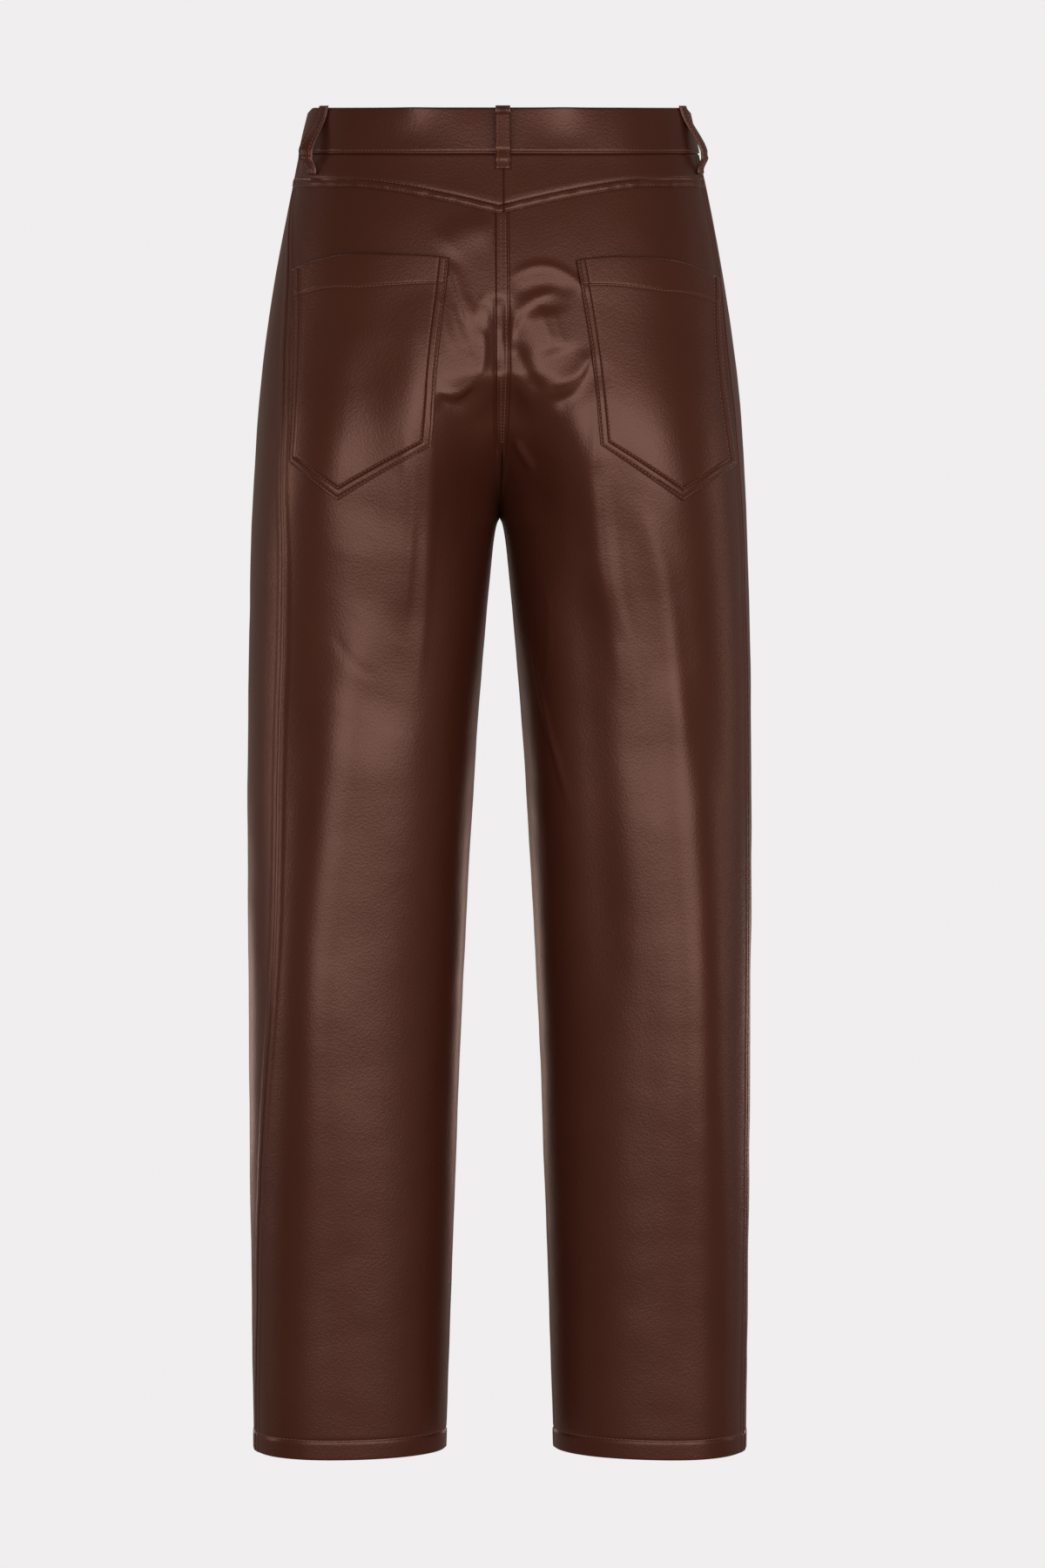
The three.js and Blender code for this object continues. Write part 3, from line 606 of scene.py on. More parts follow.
def panel_columns(side, face, drops):
    """Each level's places as shares, and their distances to the inner and outer seam."""
    lengths = arcs(side, face, drops)
    widths = lengths[:, -1]
    edge = SEAM_OFFSETS[-1]
    count = int(widths.mean() / COLUMN_SPACING[face])
    middle = np.linspace(0, 1, count + 1)[1:-1]
    places = np.concatenate([
        np.broadcast_to(SEAM_OFFSETS, (len(widths), len(SEAM_OFFSETS))),
        edge + np.outer(widths - 2 * edge, middle),
        widths[:, None] - SEAM_OFFSETS[::-1],
    ], axis=1)
    shares = np.stack([np.interp(p, l, DENSE) for p, l in zip(places, lengths)])
    return shares, places, widths[:, None] - places


# %% The yoke's pointed edge
YOKE_SIDE_DROP = 60
YOKE_POINT_DEPTH = 20
YOKE_SLOPE_WIDTH = 110
YOKE_SLOPE_POWER = 1.4


def yoke_edge(side, across):
    """The drop of the yoke's lower edge: level at the sides, down to a point behind."""
    level = np.full(np.shape(across), float(YOKE_SIDE_DROP))
    x = np.abs(form_point(side, level, panel_angle(side, "back", level, across))[..., 0])
    slope = np.maximum(0, 1 - x / YOKE_SLOPE_WIDTH) ** YOKE_SLOPE_POWER
    return YOKE_SIDE_DROP + YOKE_POINT_DEPTH * slope


# %% [markdown]
# ### Seams
#
# The centre back and the yoke are lapped: one edge lies over the other and two rows of
# stitches hold them, so a flat band stands a little proud with a groove along its edge.
# The side seams and inseams are plain, with a fine line where the panels meet and a soft
# ridge over the turned edges behind it.


# %% Relief of the seams
LAP_HEIGHT = 1.1
LAP_GROOVE = 0.8
LAP_EDGE = 0.7
SEAM_LINE = 0.7
SEAM_RIDGE = 0.55
CENTRE_LAP = {1: 6.1, -1: 2.8}
LAP_END = 250
LAP_FADE = 24
HEM_WIDTH = 15.5
HEM_GROOVE = 0.5
HEM_FULLNESS = 0.5
HEM_FOLD = 1.3


def lapped(distance, width):
    """A raised band as wide as its lap, with a groove just past its edge."""
    band = LAP_HEIGHT * (1 - smoothstep(distance, width - LAP_EDGE, width + 0.1))
    return band - LAP_GROOVE * bell(distance - width - LAP_EDGE, 0.8)


def plain_seam(distance):
    """A line pressed in where two panels meet, and the soft ridge of the turned edge."""
    line = -SEAM_LINE * bell(distance, 0.6)
    ridge = SEAM_RIDGE * smoothstep(distance, 0, 1.5) * (1 - smoothstep(distance, 4, 9))
    return line + ridge


def back_relief(side, drop, inner, outer):
    lap = 1 - smoothstep(drop, LAP_END, LAP_END + LAP_FADE)
    centre = lap * lapped(inner, CENTRE_LAP[side]) + (1 - lap) * plain_seam(inner)
    return centre + plain_seam(outer)


def front_relief(side, drop, inner, outer):
    return plain_seam(inner) + plain_seam(outer)


def hem_relief(drop):
    """The turned hem: a groove along its stitches, a soft fullness and a rounded fold."""
    above = LENGTH - drop
    groove = -HEM_GROOVE * bell(above - HEM_WIDTH, 0.9)
    fullness = HEM_FULLNESS * (1 - smoothstep(above, HEM_WIDTH - 2.5, HEM_WIDTH - 0.6))
    fold = -HEM_FOLD * edge_fall(above, HEM_FOLD)
    return groove + fullness + fold


# %% Levels of a leg
CLEFT_TOP = CROTCH_DROP - CLEFT_HEIGHT
ROW_SPACING = {"seat": 1.9, "leg": 3.2}
SEAT_END = 345
HEM_ROWS = [17.5, 16.6, 16, 15.5, 15, 14.4, 13.6, 12.6, 11, 9, 7, 5, 3.2, 2, 1.2, 0.7, 0.35, 0.1, 0]
LEATHER = 1.2
HEM_THICKNESS = 2.4
TUCK_END = 3.5


def leg_levels(top_edge):
    """A leg's levels from its sloping top edge to the hem, one row of drops each."""
    top_rows = int((CLEFT_TOP - top_edge.min()) / ROW_SPACING["leg"])
    first = np.array([0, 0.4, 0.9, 1.5, 2.2, 3.1, 4.2, 5.6])[:, None] + top_edge
    share = np.linspace(0, 1, top_rows)[1:, None]
    upper = first[-1] * (1 - share) + CLEFT_TOP * share
    seat = np.arange(CLEFT_TOP, SEAT_END, ROW_SPACING["seat"])[1:]
    leg = np.arange(SEAT_END, LENGTH - HEM_ROWS[0] - 1, ROW_SPACING["leg"])
    lower = np.concatenate([seat, leg, LENGTH - np.array(HEM_ROWS)])[:, None]
    return np.concatenate([first, upper, np.broadcast_to(lower, (len(lower), len(DENSE)))])


def make_leg(name, side, face, top_edge, relief, tuck):
    """A leg panel from a top edge that is tucked under the piece above it."""
    dense_drops = leg_levels(top_edge)
    shares, inner, outer = panel_columns(side, face, dense_drops)
    drops = np.stack([np.interp(s, DENSE, d) for s, d in zip(shares, dense_drops)])
    below_top = drops - np.interp(shares[0], DENSE, top_edge)
    lift = relief(side, drops, inner, outer) + hem_relief(drops)
    lift -= tuck * (1 - smoothstep(below_top, 0, TUCK_END))
    angles = panel_angle(side, face, drops, shares)
    face_points = cloth(side, drops, angles, lift)
    in_hem = smoothstep(drops, LENGTH - HEM_WIDTH - 1, LENGTH - HEM_WIDTH + 1)
    thick = LEATHER + (HEM_THICKNESS - LEATHER) * in_hem
    fold = np.clip((LENGTH - drops) / 1.2, 0, 1)
    thick *= 0.25 + 0.75 * np.sqrt(1 - (1 - fold) ** 2)
    back_points = face_points - form_normal(side, drops, angles) * thick[..., None]
    made = wall(name, face_points, back_points, side > 0 if face == "back" else side < 0)
    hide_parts(name)


# %% The four leg panels
YOKE_OVER_LEG = 3
BAND_OVER_LEG = 2
BACK_TUCK = 1.2
FRONT_TUCK = 1.8
for side, word in ((1, "left"), (-1, "right")):
    back_edge = yoke_edge(side, DENSE) - YOKE_OVER_LEG
    make_leg(f"back_leg_{word}", side, "back", back_edge, back_relief, BACK_TUCK)
    waist_edge = np.full(DENSE.shape, BAND_WIDTH + SEAM_GAP - BAND_OVER_LEG)
    make_leg(f"front_leg_{word}", side, "front", waist_edge, front_relief, FRONT_TUCK)

# %% [markdown]
# ### The yoke
#
# The back yoke is what shapes the seat on trousers without darts. It comes to a point at
# the centre back and laps over the legs. Its lower edge is turned and held by two rows of
# stitches, so the strip between them is thicker, and the stitches pucker it a little.

# %% The two yokes
YOKE_LAP = 6.6
YOKE_BELOW = 0.6
YOKE_TOP = BAND_WIDTH - 1.5
YOKE_STRIP = 1.2
YOKE_LOWER_ROW = 1.7
YOKE_TUCK = 1.9
PUCKER = 0.3
YOKE_TOP_ROWS = np.array([0, 0.4, 0.9, 1.6, 2.6, 4])
YOKE_EDGE_ROWS = np.array([9, 7.9, 7.2, 6.6, 6, 5.2, 4.2, 3.2, 2.4, 1.8, 1.2, 0.8, 0.5, 0.25, 0.1, 0])


def yoke_levels(side):
    edge = yoke_edge(side, DENSE) + YOKE_BELOW
    top = YOKE_TOP + YOKE_TOP_ROWS
    last_top = top[-1]
    first_edge = edge - YOKE_EDGE_ROWS[0]
    share = np.linspace(0, 1, 9)[1:-1, None]
    middle = last_top * (1 - share) + first_edge * share
    upper = np.broadcast_to(top[:, None], (len(top), len(DENSE)))
    return np.concatenate([upper, middle, edge - YOKE_EDGE_ROWS[:, None]]), edge


def puckers(side, drop, x, above):
    """Small dents that the stitches pull into the yoke's lapped edge."""
    wave = np.sin(x / 1.9 + 1.3 * np.sin(x / 7.7 + side)) + 0.6 * np.sin(x / 3.7 + 2 * side)
    return PUCKER * wave * bell(above - 1.6, 2.2)


def make_yoke(name, side):
    dense_drops, edge = yoke_levels(side)
    shares, inner, outer = panel_columns(side, "back", dense_drops)
    drops = np.stack([np.interp(s, DENSE, d) for s, d in zip(shares, dense_drops)])
    above = np.interp(shares[0], DENSE, edge) - drops
    angles = panel_angle(side, "back", drops, shares)
    x = form_point(side, drops, angles)[..., 0]
    strip = YOKE_STRIP * (1 - smoothstep(above, YOKE_LAP - 1, YOKE_LAP + 0.4))
    upper_row = -0.65 * bell(above - YOKE_LAP - 0.4, 0.8)
    lower_row = -0.5 * bell(above - YOKE_LOWER_ROW, 0.55)
    rolled = -1.1 * edge_fall(above, 0.9)
    tuck = -YOKE_TUCK * (1 - smoothstep(drops - YOKE_TOP, 0.4, 2.4))
    lift = strip + upper_row + lower_row + rolled + tuck + plain_seam(inner) * 0.7
    lift += plain_seam(outer) + puckers(side, drops, x, above)
    face_points = cloth(side, drops, angles, lift)
    thick = LEATHER * (0.3 + 0.7 * smoothstep(above, 0, 0.9))
    back_points = face_points - form_normal(side, drops, angles) * thick[..., None]
    made = wall(name, face_points, back_points, side > 0)
    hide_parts(name)


for side, word in ((1, "left"), (-1, "right")):
    make_yoke(f"yoke_{word}", side)

# %% [markdown]
# ## The waistband
#
# The waistband is one shaped strip, folded over at the top and turned under along its lower
# edge, which a single row of stitches holds down. It could be a thick wall like the panels,
# but its rounded top fold and soft lower edge catch the light, so here its cross-section is
# drawn as a closed loop of points and carried round the waist.


# %% The waistband's section
def waist_point(drop, angle, lift):
    """A place round the whole waist, from the left side over the back to the right."""
    on_right = np.cos(angle) < 0
    left = cloth(1, drop, angle, lift)
    right = cloth(-1, drop, np.pi - angle, lift)
    return np.where(on_right[..., None], right, left)


def front_angle(x):
    """The angle round the waist of a place at the front, given by its x."""
    return -np.pi / 2 + x / SECTIONS["out"][0]


SIDE_DIP = 3.5
SIDE_DIP_START = 0.965


def dipped(drop, angle):
    """A drop on the band, lower where the top edge dips at the wearer's sides."""
    dip = SIDE_DIP * smoothstep(np.abs(np.cos(angle)), SIDE_DIP_START, 1)
    return drop + dip * np.clip(1 - drop / BAND_WIDTH, 0, 1)


BAND_OUTER = 0.9
BAND_INNER = -1.7
BAND_FOLD = (BAND_OUTER - BAND_INNER) / 2
BAND_STITCH = 2.2


def band_section():
    """The closed section of the band, as drops and lifts, over its top fold and round."""
    turn = np.linspace(0, np.pi, 9)
    over = np.stack([BAND_FOLD * (1 - np.sin(turn)), -np.cos(turn) * BAND_FOLD], axis=1)
    over[:, 1] += BAND_OUTER - BAND_FOLD
    down = np.array([2.4, 4, 7, 10, 13, 16, 19, 22, 25, 28, 30.3, 31.3, 31.9, 32.3, 32.6,
                     32.9, 33.3, 33.7, 34.2, 34.6, 34.85, 35])
    face = np.stack([down, np.full(len(down), BAND_OUTER)], axis=1)
    from_edge = BAND_WIDTH - down
    face[:, 1] -= 0.4 * bell(from_edge - BAND_STITCH, 0.45)
    face[:, 1] -= 0.8 * edge_fall(from_edge, 0.8)
    inside_down = np.array([34.8, 33, 28, 20, 12, 6, 2.4])
    inside = np.stack([inside_down, np.full(len(inside_down), BAND_INNER)], axis=1)
    return np.concatenate([over, face, inside])


# %% Carrying the section round the waist
LAP_OUTER_END = -2
LAP_INWARD = 3.4
LAP_LENGTH = 25
BAND_COLUMNS = 330
BAND_FLARE = 2.2
BAND_FLARE_END = 26
FLARES = (63, 108)
FLARE_WIDTH = 0.1
LAP_BEND = (-20, -6)
BAND_WAVE = 0.35


def tube(name, rings, materials, mirrored=False):
    """A closed skin over rings of points, with both ends closed."""
    count, around = rings.shape[:2]
    r, c = np.mgrid[0:count - 1, 0:around]
    a = r * around + c
    b = r * around + (c + 1) % around
    quads = np.stack([a, a + around, b + around, b], axis=-1).reshape(-1, 4)
    faces = [list(q) for q in quads]
    faces.append(list(range(around)))
    faces.append(list(range((count - 1) * around, count * around))[::-1])
    if mirrored:
        faces = [face[::-1] for face in faces]
    return piece_from(name, rings.reshape(-1, 3), faces, materials)


section = band_section()
start = front_angle(LAP_OUTER_END)
stop = front_angle(LAP_LENGTH) + 2 * np.pi
around = np.linspace(start, stop, BAND_COLUMNS)
bend = [front_angle(x) + 2 * np.pi for x in LAP_BEND]
inward = LAP_INWARD * smoothstep(around, *bend)
angle_grid = np.broadcast_to(around[:, None], (BAND_COLUMNS, len(section)))
waves = BAND_WAVE * np.sin(angle_grid * 9 + 1) * np.sin(np.pi * section[:, 0] / BAND_WIDTH)
flare = BAND_FLARE * np.clip(1 - section[:, 0] / BAND_FLARE_END, 0, 1) ** 2
flared = sum(bell(around - math.radians(place), FLARE_WIDTH) for place in FLARES)
lifts = section[:, 1] + flare * flared[:, None] - inward[:, None] + waves
band_rings = waist_point(dipped(section[:, 0], angle_grid), angle_grid, lifts)
waistband = tube("waistband", band_rings, [leather], mirrored=True)
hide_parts("waistband")

# %% [markdown]
# ## Belt loops
#
# A belt loop is a strip folded in three and stitched down both long edges, which leaves a
# shallow channel along its middle. It is sewn over the waistband's top edge and just below
# its seam, and stands off between to let a belt through. Its lower end is turned up under
# itself, so it is thicker there.

# %% The five loops
LOOP_WIDTH = 11.4
LOOP_THICKNESS = 2.0
LOOP_TOP = -1.5
FLAT_LOOP = {"bottom": 47, "room": 5.8, "rise": (0.03, 0.16), "fall": (0.68, 0.88)}
SAGGING_LOOP = {"bottom": 51, "room": 6.8, "rise": (0.1, 0.7), "fall": (0.76, 0.97)}
LOOPS = {
    "back": {"angle": 90, "slant": 0, "twist": 0, **FLAT_LOOP},
    "left": {"angle": 27, "slant": 0, "twist": 3.4, **SAGGING_LOOP},
    "right": {"angle": 162, "slant": 5, "twist": 0, **SAGGING_LOOP},
    "front_left": {"angle": -52, "slant": 0, "twist": 0, **FLAT_LOOP},
    "front_right": {"angle": 232, "slant": 0, "twist": 0, **FLAT_LOOP},
}
# A row is a place across the loop, its height as a share of the thickness, and no shift.
LOOP_RING = [
    (-1, 0.35, 0), (-0.97, 0.75, 0), (-0.88, 0.98, 0), (-0.72, 0.92, 0), (-0.62, 0.78, 0),
    (-0.52, 0.9, 0), (-0.3, 1, 0), (0, 0.93, 0), (0.3, 1, 0), (0.52, 0.9, 0), (0.62, 0.78, 0),
    (0.72, 0.92, 0), (0.88, 0.98, 0), (0.97, 0.75, 0), (1, 0.35, 0), (0.9, 0, 0), (0, 0, 0),
    (-0.9, 0, 0),
]
LOOP_ROW = 0.62
LOOP_ROW_LIFT = 0.78
loop_rows = {}


def make_belt_loop(word, angle, slant, twist, bottom, room, rise, fall):
    beside = math.radians(angle) + np.array([-0.01, 0.01])
    stride = waist_point(np.array([BAND_WIDTH / 2] * 2), beside, 0.0)
    turn = LOOP_WIDTH * 0.01 / np.linalg.norm(stride[1] - stride[0])
    share = np.concatenate([[0, 0.004, 0.012], np.linspace(0.03, 0.97, 44), [0.988, 0.996, 1]])
    middle = np.radians(angle + slant * (share - 0.5))
    drop = dipped(LOOP_TOP + (bottom - LOOP_TOP) * share, middle)
    on_band = 1 - smoothstep(drop, BAND_WIDTH, BAND_WIDTH + 3)
    stand = smoothstep(share, *rise) * (1 - smoothstep(share, *fall))
    lift = 0.8 * on_band + SEAM_GAP + room * stand
    from_end = np.minimum(share, 1 - share) * (bottom - LOOP_TOP)
    ends = np.sqrt(1 - np.clip(1 - from_end / 0.9, 0, 1) ** 2)
    double = 0.7 * smoothstep(share, 0.78, 0.8)
    wide = np.array([row[0] for row in LOOP_RING])
    high = np.array([row[1] for row in LOOP_RING])
    thick = (LOOP_THICKNESS + double) * (0.35 + 0.65 * ends)
    angles = middle[:, None] + wide[None, :] * turn
    turned = twist * stand[:, None] * (1 - wide)[None, :] / 2
    lifts = lift[:, None] + turned + high[None, :] * thick[:, None]
    drops = np.broadcast_to(drop[:, None], lifts.shape)
    rings = waist_point(drops, np.broadcast_to(angles, lifts.shape), lifts)
    name = f"belt_loop_{word}"
    made = tube(name, rings, [leather_trim])
    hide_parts(name)
    for sign in (-1, 1):
        raised = lift + twist * stand * (1 - sign * LOOP_ROW) / 2
        column = (drop, middle + sign * LOOP_ROW * turn, raised + LOOP_ROW_LIFT * thick)
        loop_rows[word, sign] = waist_point(*column)


for word, shape in LOOPS.items():
    make_belt_loop(word, **shape)

# %% [markdown]
# ## Patch pockets
#
# Each pocket is cut as a five-sided patch with turned edges. Two rows of stitches follow its
# sides and its point, and a deep hem crosses its open top. It lies on the seat, so its grid
# is made from the back panel's own points, moved out, and filled between the rows so that
# the leather swells a little where no stitch holds it.

# %% The pockets' outlines, seen from behind
POCKETS = {
    "left": {
        "side": 1,
        "top": [(37.5, 113.3), (48.7, 112), (71.8, 111.1), (113.7, 111.4), (133.8, 115.2),
                (156.5, 123.5)],
        "bottom": [(52.5, 253.7), (122.6, 296.8), (159, 268.5)],
        "inner": [(37.5, 113.3), (44.9, 183.3), (52.5, 253.7)],
        "outer": [(156.5, 123.5), (156, 190.8), (159, 268.5)],
    },
    "right": {
        "side": -1,
        "top": [(-58.2, 115.3), (-65.7, 113.9), (-91.4, 112.6), (-128.9, 115.8),
                (-149.5, 121.9), (-168, 131.5)],
        "bottom": [(-77, 253.6), (-138.9, 297.1), (-181, 270.7)],
        "inner": [(-58.2, 115.3), (-69.3, 182.1), (-77, 253.6)],
        "outer": [(-168, 131.5), (-171, 191.4), (-181, 270.7)],
    },
}
TIP_SHARE = 7 / 13
POCKET_WIDE = 118
POCKET_DEEP = 160
POCKET_SIDE_DEEP = POCKET_DEEP * 0.85
POCKET_STEPS = np.array([0, 0.15, 0.35, 0.6, 0.9, 1.3, 1.7, 2.1, 2.7, 3.6, 4.6, 5.6, 6.3, 6.8, 7.2,
                         7.6, 8.1, 8.8, 9.8, 11.2, 13])
POCKET_TOP_STEPS = np.array([0, 0.15, 0.4, 0.8, 1.4, 2.4, 4, 6, 9, 12, 15, 17.5, 19, 19.9, 20.6,
                             21.1, 21.5, 21.9, 22.4, 23.1, 24.2, 26])


def across_at(side, x, drop):
    """Where a place seen from behind lies on the back panel, as a share of its width."""
    low, high = np.zeros(np.shape(x)), np.ones(np.shape(x))
    for _ in range(30):
        across = (low + high) / 2
        seen = form_point(side, drop, panel_angle(side, "back", drop, across))[..., 0] * side
        short = seen < x * side
        low = np.where(short, across, low)
        high = np.where(short, high, across)
    return (low + high) / 2


def along_curve(places, share):
    """A soft line through the places, at shares of its length."""
    places = np.array(places, float)
    run = np.concatenate([[0], np.cumsum(np.linalg.norm(np.diff(places, axis=0), axis=1))])
    table = {"drop": run, "x": places[:, 0], "y": places[:, 1]}
    at = share * run[-1]
    return np.stack([smooth(table, "x", at), smooth(table, "y", at)], axis=-1)


def along_point(places, share):
    """The pocket's lower edge: two straight runs that meet at the tip."""
    first, tip, last = np.array(places, float)
    down = np.minimum(share / TIP_SHARE, 1)[:, None]
    up = np.clip((share - TIP_SHARE) / (1 - TIP_SHARE), 0, 1)[:, None]
    return first + (tip - first) * down + (last - tip) * up


def pocket_places(shape, u, v):
    """Shares across the back panel and drops of the pocket's own grid (u across, v down)."""
    side = shape["side"]

    def on_panel(seen):
        return np.stack([across_at(side, seen[:, 0], seen[:, 1]), seen[:, 1]], axis=-1)

    top, bottom = on_panel(along_curve(shape["top"], u)), on_panel(along_point(shape["bottom"], u))
    inner, outer = (on_panel(along_curve(shape[edge], v)) for edge in ("inner", "outer"))
    uu, vv = u[None, :, None], v[:, None, None]
    blend = top[None] * (1 - vv) + bottom[None] * vv
    blend = blend + inner[:, None] * (1 - uu) + outer[:, None] * uu
    corners = inner[0] * (1 - uu) * (1 - vv) + inner[-1] * (1 - uu) * vv
    corners = corners + outer[0] * uu * (1 - vv) + outer[-1] * uu * vv
    places = blend - corners
    return places[..., 0], places[..., 1]


# %% The pockets' relief
POCKET_CLEAR = 0.8
POCKET_PUFF = 1.8
POCKET_THICK = 1.3
EDGE_ROW = 1.7
INNER_ROW = 7.2
TOP_HEM = 21.5


def pocket_lift(u, v, inner, outer, bottom, top):
    """How far the pocket's face stands off the panel, from the distances to its edges."""
    edge = np.minimum(np.minimum(inner, outer), bottom)
    puff = POCKET_PUFF * np.sin(np.pi * u) * np.sin(np.pi * (0.25 + 0.75 * v))
    rows = -0.6 * bell(edge - EDGE_ROW, 0.55) - 0.8 * bell(edge - INNER_ROW, 0.7)
    strip = 0.6 * smoothstep(edge, EDGE_ROW, 3) * (1 - smoothstep(edge, 5.6, INNER_ROW))
    below_hem = smoothstep(top, TOP_HEM - 0.6, TOP_HEM + 0.8)
    hem = 0.8 * (1 - below_hem) - 0.6 * bell(top - TOP_HEM, 0.6) * (edge > 2)
    rolled = -1.1 * edge_fall(np.minimum(edge, top), 1.1)
    return POCKET_CLEAR + POCKET_THICK + puff + rows + strip + hem + rolled


def pocket_grid():
    """Shares across and down, close together where the edges and rows lie."""
    sides = POCKET_STEPS / POCKET_WIDE
    middle = np.linspace(sides[-1], 1 - sides[-1], 40)[1:-1]
    u = np.concatenate([sides, middle, 1 - sides[::-1]])
    upper, lower = POCKET_TOP_STEPS / POCKET_DEEP, POCKET_STEPS / POCKET_SIDE_DEEP
    down = np.linspace(upper[-1], 1 - lower[-1], 44)[1:-1]
    u = np.sort(np.append(u[np.abs(u - TIP_SHARE) > 0.004], TIP_SHARE))
    return u, np.concatenate([upper, down, 1 - lower[::-1]])


def pocket_surface(shape, u, v, extra=0.0):
    """Points of the pocket's face at a grid of shares, with its distances to the edges."""
    side = shape["side"]
    across, drop = pocket_places(shape, u, v)
    uu, vv = np.broadcast_to(u, across.shape), np.broadcast_to(v[:, None], across.shape)
    inner, outer = uu * POCKET_WIDE, (1 - uu) * POCKET_WIDE
    bottom, top = (1 - vv) * POCKET_SIDE_DEEP, vv * POCKET_DEEP
    angles = panel_angle(side, "back", drop, across)
    lift = pocket_lift(uu, vv, inner, outer, bottom, top) + extra
    return cloth(side, drop, angles, lift), form_normal(side, drop, angles)


def make_pocket(word, shape):
    u, v = pocket_grid()
    face_points, normals = pocket_surface(shape, u, v)
    uu, vv = np.meshgrid(u, v)
    edge = np.minimum(np.minimum(uu, 1 - uu) * POCKET_WIDE, (1 - vv) * POCKET_SIDE_DEEP)
    thick = POCKET_THICK * (0.25 + 0.75 * smoothstep(np.minimum(edge, vv * POCKET_DEEP), 0, 1.1))
    back_points = face_points - normals * thick[..., None]
    name = f"back_pocket_{word}"
    made = wall(name, face_points, back_points, shape["side"] > 0)
    made.data.materials[0] = leather_trim
    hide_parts(name)


for word, shape in POCKETS.items():
    make_pocket(word, shape)

# %% [markdown]
# ## The fly and the waist button
#
# At the front the trousers close with a fly: a topping on the left front, held by a curved
# row of stitches, and a metal button at the waist. Both are hidden in the photograph, so
# they are kept plain.

# %% The fly's topping
FLY_WIDTH = 38
FLY_LENGTH = 150
FLY_LIFT = SEAM_GAP + 1.2
FLY_ROW = 2


def fly_half_width(v):
    bend = np.clip((v - 0.7) / 0.3, 0, 1)
    return FLY_WIDTH * (0.3 + 0.7 * np.sqrt(1 - bend**2))


fly_v = np.concatenate([[0, 0.003, 0.008, 0.02], np.linspace(0.04, 0.96, 50), [0.98, 0.99, 0.997, 1]])
fly_u = np.concatenate([[0, 0.01, 0.03, 0.06], np.linspace(0.1, 0.86, 16),
                        [0.9, 0.925, 0.95, 0.97, 0.985, 0.995, 1]])
uu, vv = np.meshgrid(fly_u, fly_v)
drops = BAND_WIDTH + 2 * SEAM_GAP + FLY_LENGTH * vv
width = fly_half_width(vv)
angles = -np.pi / 2 + width * uu / half_section(drops)[0]
edge = np.minimum(np.minimum(width * (1 - uu), FLY_LENGTH * vv), FLY_LENGTH * (1 - vv))
edge = np.minimum(edge, width * uu)
rolled = -0.9 * edge_fall(edge, 0.9)
groove = -0.35 * bell(edge - FLY_ROW, 0.5)
fly_face = cloth(1, drops, angles, FLY_LIFT + rolled + groove)
fly_face[..., 0] += SEAM_GAP / 2
thick = 0.3 + 0.7 * smoothstep(edge, 0, 1)
fly_back = fly_face - form_normal(1, drops, angles) * thick[..., None]
fly = wall("fly", fly_face, fly_back, False)
fly.data.materials[0] = leather_trim
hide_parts("fly")
width, length, area = sheet_size(fly_face)

# %% The waist button
BUTTON_ACROSS = 12
# A row is a radius and a height above the band.
BUTTON_PROFILE = [
    (0.02, 0), (7.2, 0), (8.1, 0.35), (8.5, 1.2), (8.5, 2.3), (8.25, 3.1), (7.7, 3.7), (7.0, 3.95),
    (6.3, 3.85), (5.9, 3.5), (5.5, 3.25), (4.5, 3.3), (3.0, 3.5), (1.5, 3.6), (0.02, 3.62),
]
spin = np.linspace(0, 2 * np.pi, 48, endpoint=False)
button_angle = np.array([front_angle(BUTTON_ACROSS)])
button_drop = np.array([BAND_WIDTH / 2])
seat = cloth(1, button_drop, button_angle, 0.8 + SEAM_GAP)[0]
facing = form_normal(1, button_drop, button_angle)[0]
sideways = unit(np.cross(facing, [0, 0, 1.0]))
upwards = np.cross(sideways, facing)
button_rings = np.array([
    [seat + facing * h + r * (math.cos(t) * sideways + math.sin(t) * upwards) for t in spin]
    for r, h in BUTTON_PROFILE
])
button = tube("waist_button", button_rings, [button_metal])
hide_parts("waist_button")

# %% [markdown]
# ## Stitches
#
# Topstitching is what tells a sewn seam from a moulded line. A bump texture could draw it,
# but real stitches dip into the leather at both ends and stand a little proud between, so
# each is a tiny thread of its own. All stitches of one colour are one mesh.


# %% Laying stitches along a line
STITCH_PITCH = 3.1
STITCH_LENGTH = 2.5
THREAD_RADIUS = 0.3
STITCH_RING = 6
STITCH_PLACES = [-0.5, -0.42, -0.2, 0.2, 0.42, 0.5]
STITCH_BULGE = [0.3, 0.75, 1, 1, 0.75, 0.3]
STITCH_HEIGHT = [-0.35, -0.1, 0.1, 0.1, -0.1, -0.35]
stitch_points, stitch_faces = [], []


